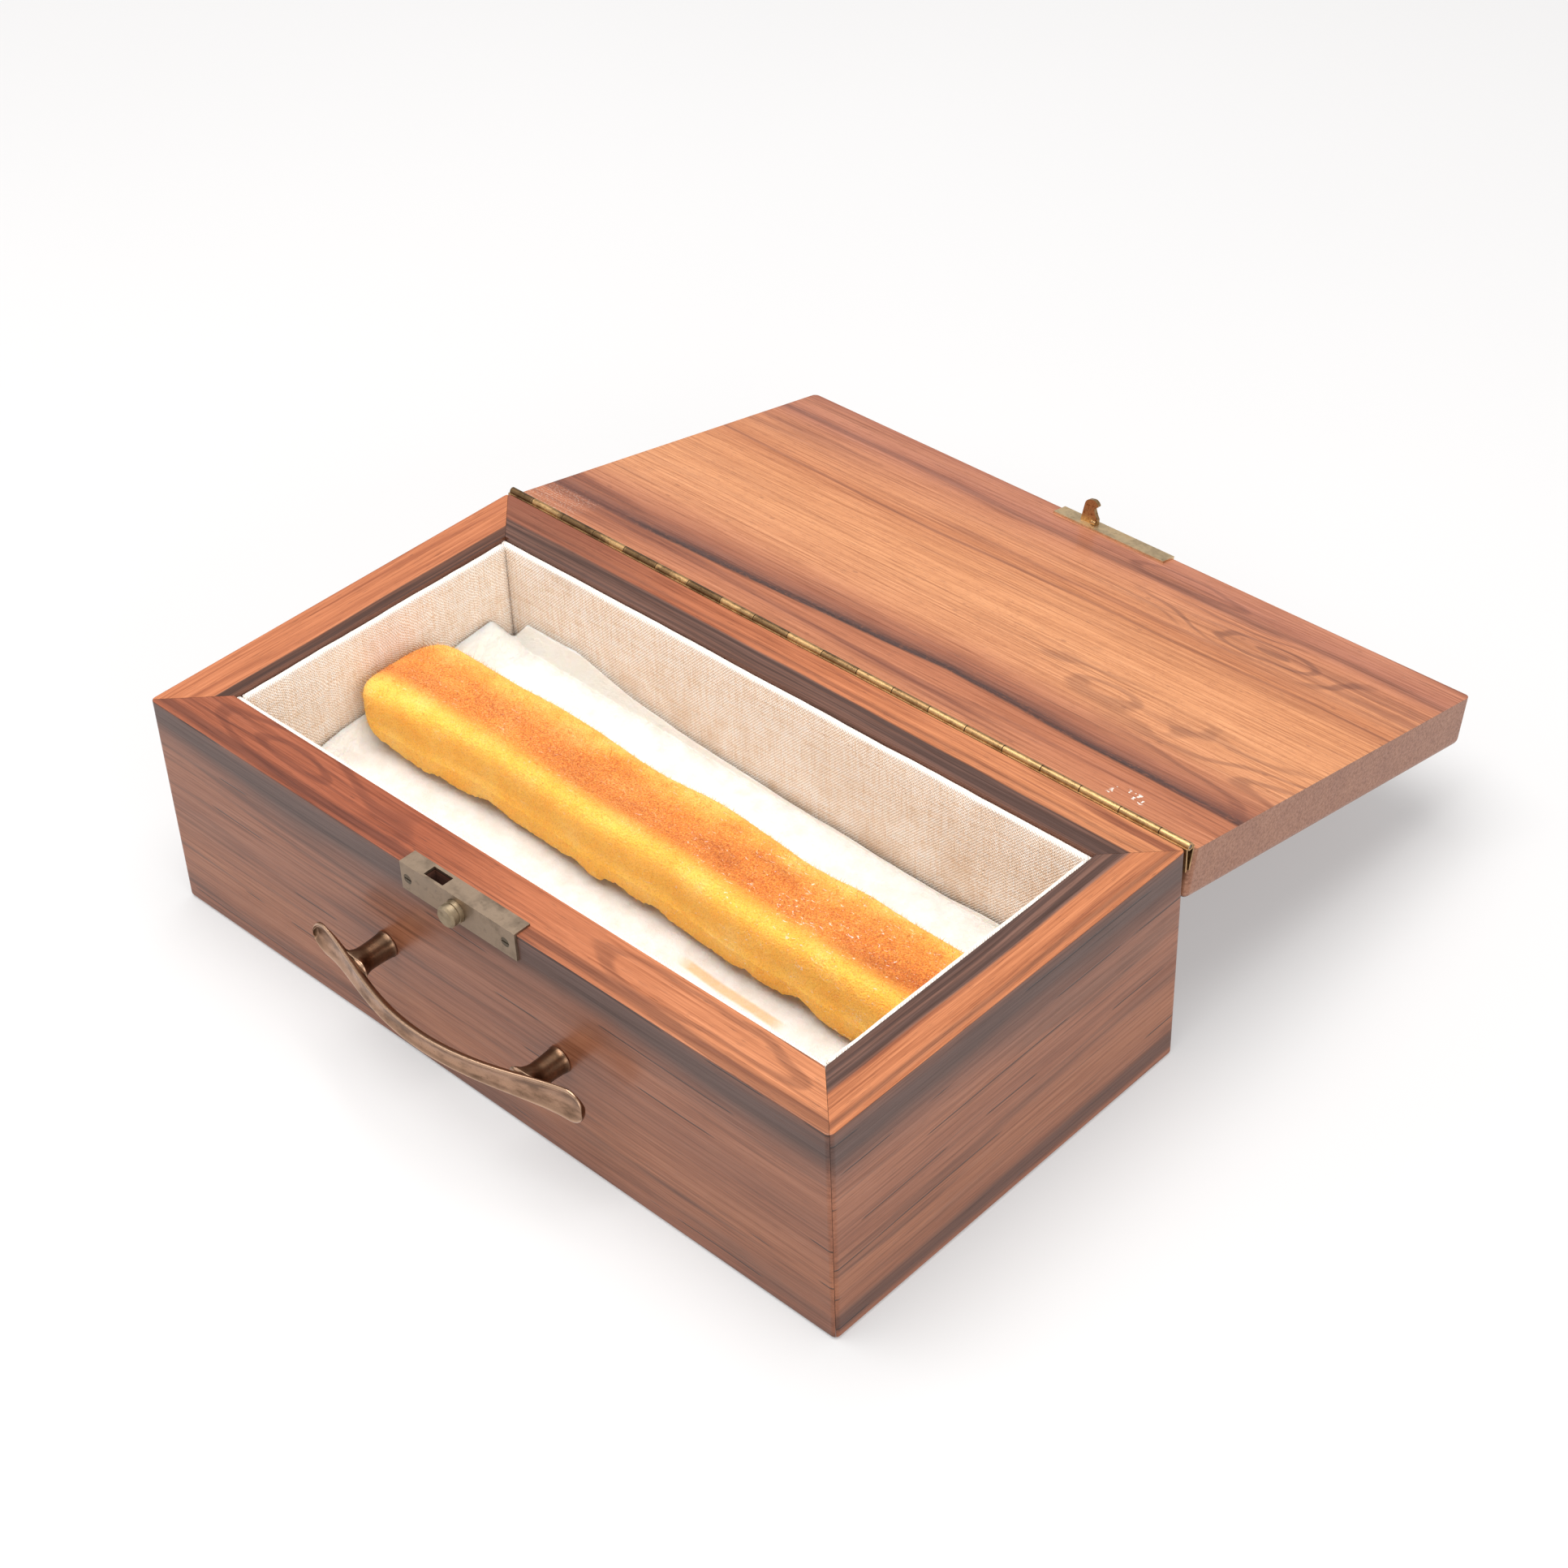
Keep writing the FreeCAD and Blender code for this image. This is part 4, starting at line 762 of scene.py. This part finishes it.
def pad_piece(material):
    """The ochre pad: a slab with rounded edges."""
    low, _ = (c * 1000 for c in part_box("underlay_pad"))

    def top(x, y):
        edge = min(HALF_X - abs(x), HALF_Y - abs(y))
        crown = -1.8 * max(0.0, 1 - edge / 5.0) ** 2
        return (x, y, pad_top(x) - 0.2 + crown + 0.15 * ruffle(x, y, 0, 0.08))

    def bottom(x, y):
        edge = min(HALF_X - abs(x), HALF_Y - abs(y))
        return (x, y, low.z + 0.05 + 1.5 * max(0.0, 1 - edge / 4.0) ** 2)

    us, vs = np.linspace(-HALF_X, HALF_X, 90), np.linspace(-HALF_Y, HALF_Y, 50)
    item = slab_from_grid("ochre_pad", top, bottom, us, vs, material)
    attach(item, CASE_BODY)
    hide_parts("underlay_pad")


COTTON_FRONT = -53.6
UPSTAND = [(-124, 55.5), (-104, 55.0), (-91, 51.7), (-79, 49.0), (-64, 44.8), (-42, 42.0), (-10, 39.5), (10, 38.2),
           (31, 37.9), (47, 36.6), (72, 36.2), (90, 37.0), (124, 37.5)]


def upstand_at(x):
    """How high the sheet climbs the back card at x."""
    return float(np.interp(x, [p[0] for p in UPSTAND], [p[1] for p in UPSTAND]))


def cotton_surface(x, run):
    """A point of the sheet: run is the distance from its front edge, over the bed and then up the back lining."""
    flat = HALF_Y - 1.4 - COTTON_FRONT
    turn = 7.0
    bed = pad_top(x) + 0.45
    left = max(0.0, 1 - (x + HALF_X) / 9.0)
    lift = (float(np.interp(run, [0.0, 30.0, 75.0, 105.0], [43.0, 48.0, 54.0, 58.0])) - bed) * left ** 1.6
    if run <= flat - turn:
        y, z = COTTON_FRONT + run, bed
    else:
        over = run - (flat - turn)
        height = max(upstand_at(x) - bed, 0.6)
        share = min(1.0, over / (turn + height))
        y = COTTON_FRONT + flat - turn + turn * math.sin(min(1.0, share * (turn + height) / turn) * math.pi / 2)
        z = bed + height * share ** 1.8
    z = max(z, bed + lift)
    corner = math.hypot(x + HALF_X, HALF_Y - 1.2 - y)
    z = bed + (z - bed) * (1.0 - 0.8 * max(0.0, 1.0 - corner / 9.0))
    fold = 0.9 * ruffle(x, y, 0.0, 0.035) + 0.45 * ruffle(x, y, 5.0, 0.11) + 0.16 * ruffle(x, y, 9.0, 0.4)
    z += max(0.0, 0.8 + fold) * (1.0 if y < 50 else 0.5)
    return Vector((x, min(y, HALF_Y - 1.2), z))


def cotton_piece(material):
    """The cotton sheet: laid on the pad, climbing the left and back cards."""
    flat_run = HALF_Y - 1.4 - COTTON_FRONT + 14.0
    us = np.linspace(-HALF_X + 1.0, HALF_X - 0.4, 210)
    vs = np.linspace(0.0, flat_run, 110)

    def top(x, run):
        spot = cotton_surface(x, run)
        return (spot.x, spot.y, spot.z + 1.0)

    def bottom(x, run):
        spot = cotton_surface(x, run)
        inward = 0.9 if run > 100 else 0.0
        return (spot.x, spot.y + inward * 0.3, spot.z - 0.6)

    item = slab_from_grid("cotton_batting", top, bottom, us, vs, material)
    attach(item, CASE_BODY)
    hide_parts("cotton_sheet")


# Each bite in the foam's lower edge: its middle in x, its half width and its depth.
BITES = [(74.0, 8.0, 5.0), (100.0, 6.0, 3.0), (52.0, 7.0, 2.6), (13.0, 6.0, 2.0), (-4.0, 7.0, 3.8), (-22.0, 6.0, 2.4),
         (-62.0, 9.0, 3.0), (-84.0, 7.0, 2.0)]


FUZZ_COUNT = 38000


def bitten(x):
    """How far the torn lower edge is bitten back at x."""
    return max(deep * max(0.0, 1 - abs(x - middle) / half) for middle, half, deep in BITES)


def foam_section(x):
    """Front, back, bottom and top of the foam strip at x."""
    along = (x + 120.0) / 240.0
    front = -13.5 - 1.0 * along + 1.2 * ruffle(x, 0, 0, 0.03) - 4.5 * max(0.0, (-70.0 - x) / 50.0)
    back = 19.5 + 1.2 * ruffle(x, 4, 0, 0.03)
    bottom = pad_top(x) + 4.2
    top = bottom + 26.5 + 1.0 * ruffle(x, 8, 0, 0.025) - 3.5 * max(0.0, (-96.0 - x) / 26.0) ** 2
    return front, back, bottom, top


def foam_outline(count):
    """Points evenly spaced round the strip's rounded square section, each with its outward direction."""
    fine = []
    for step in range(2000):
        c, s = math.cos(2 * math.pi * step / 2000), math.sin(2 * math.pi * step / 2000)
        power = 0.40 if s > 0 else 0.22
        fine.append((math.copysign(abs(c) ** power, c), math.copysign(abs(s) ** power, s)))
    run = np.cumsum([0.0] + [math.dist(a, b) for a, b in zip(fine, fine[1:] + fine[:1])])
    outline = []
    for at in np.linspace(0.0, run[-1], count, endpoint=False):
        across, up = fine[min(1999, int(np.searchsorted(run, at)))]
        out = Vector((math.copysign(abs(across) ** 3.5, across), math.copysign(abs(up) ** 3.5, up))).normalized()
        outline.append((across, up, out.x, out.y))
    return outline


def foam_pieces(material, fuzz_material):
    """The foam strip with its torn lower edge, and the loose fibres that stand on it."""
    start, end = -122.4, 122.6
    stations, around = 320, 92
    outline = foam_outline(around)
    points = []
    for number in range(stations):
        x = start + (end - start) * number / (stations - 1)
        front, back, bottom, top = foam_section(x)
        shrink = 1.0
        if x < start + 12.0:
            shrink = math.sqrt(max(0.0, 1 - (1 - (x - start) / 12.0) ** 2))
        if x > end - 2.0:
            shrink = 0.9 + 0.1 * math.sqrt(max(0.0, 1 - (1 - (end - x) / 2.0) ** 2))
        torn = 1.4 * max(0.0, ruffle(x, 1.0, 0.0, 0.055) + 0.3) + 0.9 * abs(ruffle(x, 7.0, 0.0, 0.16))
        torn += 1.3 * abs(ruffle(x, 9.0, 0.0, 0.5)) + 0.7 * abs(ruffle(x, 5.0, 0.0, 1.2)) + bitten(x)
        centre = Vector(((front + back) / 2, (bottom + top) / 2 + (1 - shrink) * 2.0))
        half = Vector(((back - front) / 2, (top - bottom) / 2)) * (0.45 + 0.55 * shrink) * min(1.0, 3 * shrink + 0.02)
        for across, up, out_y, out_z in outline:
            y, z = centre.x + half.x * across, centre.y + half.y * up
            rough = 0.30 * ruffle(x, y, z, 0.06) + 0.10 * ruffle(x, y, z, 0.35) + 0.16 * ruffle(x, y, z, 1.1)
            front_share = min(1.0, max(0.0, -across * 1.2))
            lift = max(0.0, (-92.0 - x) / 30.0) ** 2 * 7.0 * front_share * max(0.0, -up)
            low_down = min(1.0, max(0.0, (bottom + 6.0 - z) / 4.0))
            y += out_y * rough + 0.35 * torn * front_share * low_down
            z = max(bottom + torn * front_share + 0.3 * ruffle(x, y, 6.0, 1.6), z + out_z * rough + lift, bottom)
            points.append((x + rough * 0.3, y, z))
    faces = tube_faces(stations, around)
    item = mesh_piece("foam_strip_soft", points, faces, material)
    face_outward(item)
    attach(item, CASE_BODY)
    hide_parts("foam_strip")

    rng = np.random.default_rng(7)
    mesh = item.data
    areas = np.array([p.area for p in mesh.polygons])
    chosen = rng.choice(len(areas), size=FUZZ_COUNT, p=areas / areas.sum())
    tufts, triangles = [], []
    for index in chosen:
        polygon = mesh.polygons[index]
        if polygon.normal.z < -0.3:
            continue
        share = rng.random(len(polygon.vertices)) + 0.02
        share /= share.sum()
        root = sum((mesh.vertices[v].co * k for v, k in zip(polygon.vertices, share)), Vector()) * 1000
        lean = Vector(rng.normal(0, 0.55, 3))
        tip = root + (polygon.normal + lean).normalized() * rng.uniform(0.4, 1.9)
        side = (tip - root).cross(Vector(rng.normal(0, 1, 3))).normalized() * rng.uniform(0.035, 0.07)
        first = len(tufts)
        tufts += [tuple(root - side), tuple(root + side), tuple(tip)]
        triangles.append((first, first + 1, first + 2))
    hair = mesh_piece("foam_fuzz", tufts, triangles, fuzz_material, smooth=False)
    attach(hair, CASE_BODY)


# ---- catch spring --------------------------------------------------------------------------------------------------

def spring_piece(material):
    """Four-turn coil between the catch and the tray's tab."""
    low, high = (c * 1000 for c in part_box("catch_spring"))
    middle_y, middle_z = (low.y + high.y) / 2, (low.z + high.z) / 2
    wire, turns, stations, around = 0.17, 4, 97, 10
    coil = (high.z - low.z) / 2 - wire
    points = []
    for number in range(stations):
        share = number / (stations - 1)
        turn = 2 * math.pi * turns * share
        x = low.x + wire + (high.x - low.x - 2 * wire) * share
        for step in range(around):
            angle = 2 * math.pi * step / around
            radius = coil + wire * math.cos(angle)
            points.append((x + wire * math.sin(angle), middle_y + radius * math.cos(turn),
                           middle_z + radius * math.sin(turn)))
    item = mesh_piece("catch_coil", points, tube_faces(stations, around), material)
    face_outward(item)
    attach(item, CASE_BODY)
    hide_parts("catch_spring")
    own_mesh(item)


# ---- put it together -----------------------------------------------------------------------------------------------

woods = {"front_wall": front_wall_wood(), "back_wall": back_wall_wood(), "left_wall": left_wall_wood(),
         "right_wall": right_wall_wood(), "lid_board": lid_wood(), "bottom_panel": plain_wood()}
for node, material in woods.items():
    dress(node, material)

nickel = metal("dull_nickel", tone(164, 144, 124), tone(142, 124, 106), tone(112, 94, 78),
               0.42, 0.09, brushed=(0.3, 4, 4)).material
screw_metal = metal("screw_nickel", tone(112, 100, 84), tone(84, 74, 62), tone(50, 42, 34), 0.40, 0.6).material
button_metal = metal("button_nickel", tone(170, 152, 126), tone(146, 128, 102), tone(104, 86, 66), 0.40, 0.10).material
yellow = metal("worn_brass", tone(238, 212, 170), tone(218, 190, 148), tone(156, 126, 88),
               0.38, 0.2, shut=True).material
hook_metal = metal("hook_brass", tone(196, 158, 112), tone(140, 104, 68), tone(78, 54, 36),
                   0.28, 0.9, shut=True).material
steel = metal("plain_steel", tone(150, 148, 144), tone(110, 108, 104), tone(60, 56, 52), 0.4, 0.6).material
inner_brass = metal("inner_brass", tone(190, 160, 110), tone(150, 122, 80), tone(90, 70, 44), 0.35, 0.6).material
for node, material in {
    "lock_plate": nickel, "lock_case": steel, "lock_screws": screw_metal, "push_button": button_metal,
    "catch_slide": inner_brass, "guide_rivets": inner_brass, "handle_screws": steel,
    "hinge_pin": steel, "strike_plate": yellow, "strike_screws": yellow, "lid_hook": hook_metal,
    "hinge_leaf_case": hinge_metal("hinge_brass_case", False), "hinge_leaf_lid": hinge_metal("hinge_brass_lid", True),
    "hinge_screws_case": inner_brass, "hinge_screws_lid": inner_brass,
}.items():
    dress(node, material)

cloth = linen()
for seed, side in enumerate(("front", "back", "left", "right")):
    card_piece("lining_" + side, cloth, 10.0 * seed)
dress("floor_lining", cloth)
pad_piece(ochre_cloth())
cotton_piece(batting())
foam_pieces(foam(), fuzz())
handle_piece(bronze())
spring_piece(steel)


# ---- floor, light and camera ---------------------------------------------------------------------------------------

def floor_material():
    g = Nodes("pale_floor", roughness=0.9, Specular_IOR_Level=0.1)
    haze = g.noise(g.where(), 0.002, 2.0)
    g.set("Base Color", g.ramp(haze, [(0.3, (0.37, 0.369, 0.37, 1)), (0.7, (0.38, 0.379, 0.38, 1))]))
    g.shader.inputs["Emission Color"].default_value = (1.0, 0.985, 0.985, 1)
    g.shader.inputs["Emission Strength"].default_value = 0.345
    return g.material


def make_stage():
    size, level = 6000.0, -0.05
    points = [(-size, -size, level), (size, -size, level), (size, size, level), (-size, size, level)]
    floor = mesh_piece("studio_floor", points, [(0, 1, 2, 3)], floor_material(), smooth=False)


def soft_light(name, place, aim, width, height, watts, colour=(1, 1, 1)):
    data = bpy.data.lights.new(name, "AREA")
    data.shape = "RECTANGLE"
    data.size, data.size_y, data.energy, data.color = width, height, watts, colour
    lamp = bpy.data.objects.new(name, data)
    lamp.location = place
    lamp.rotation_mode = "QUATERNION"
    lamp.rotation_quaternion = (Vector(aim) - Vector(place)).to_track_quat("-Z", "Y")
    bpy.context.scene.collection.objects.link(lamp)


def make_light():
    world = bpy.data.worlds.new("studio")
    world.use_nodes = True
    world.node_tree.nodes["Background"].inputs[0].default_value = (1.0, 0.995, 0.995, 1)
    world.node_tree.nodes["Background"].inputs[1].default_value = 0.50
    bpy.context.scene.world = world
    soft_light("overhead", (-0.1, -0.2, 1.9), (0, 0.03, 0.05), 1.6, 1.6, 56.0, (1.0, 0.99, 0.975))
    soft_light("front_left", (-1.2, -1.5, 1.0), (0, 0, 0.05), 1.4, 1.0, 4.0)
    soft_light("right_fill", (1.9, -0.5, 0.7), (0, 0, 0.05), 1.6, 1.0, 17.0)


CAMERA_ANGLES = (44.522, 38.934, -2.339)
CAMERA_AIM, CAMERA_DISTANCE = Vector((57.783, 0, 107.121)), 859.468
FRAME_SIDE, SENSOR, FOCAL_LENGTH = 1932.0, 36.0, 3691.1


def make_camera():
    """A camera at the given azimuth, elevation and roll; the focal length is in units of the frame's side of 1932."""
    azimuth, elevation, roll = (math.radians(a) for a in CAMERA_ANGLES)
    ahead = Vector((-math.sin(azimuth) * math.cos(elevation), math.cos(azimuth) * math.cos(elevation),
                    -math.sin(elevation)))
    right = ahead.cross(Vector((0, 0, 1))).normalized()
    up = right.cross(ahead)
    level = math.cos(roll) * right + math.sin(roll) * up
    upright = -math.sin(roll) * right + math.cos(roll) * up
    data = bpy.data.cameras.new("camera")
    data.sensor_width = SENSOR
    data.lens = FOCAL_LENGTH * SENSOR / FRAME_SIDE
    data.clip_start, data.clip_end = 0.05, 50.0
    camera = bpy.data.objects.new("camera", data)
    place = (CAMERA_AIM - ahead * CAMERA_DISTANCE) * MM
    turn = Matrix((level, upright, -ahead)).transposed().to_4x4()
    camera.matrix_world = Matrix.Translation(place) @ turn
    bpy.context.scene.collection.objects.link(camera)
    bpy.context.scene.camera = camera


make_stage()
make_light()
make_camera()
bpy.context.scene.view_settings.view_transform = "Standard"
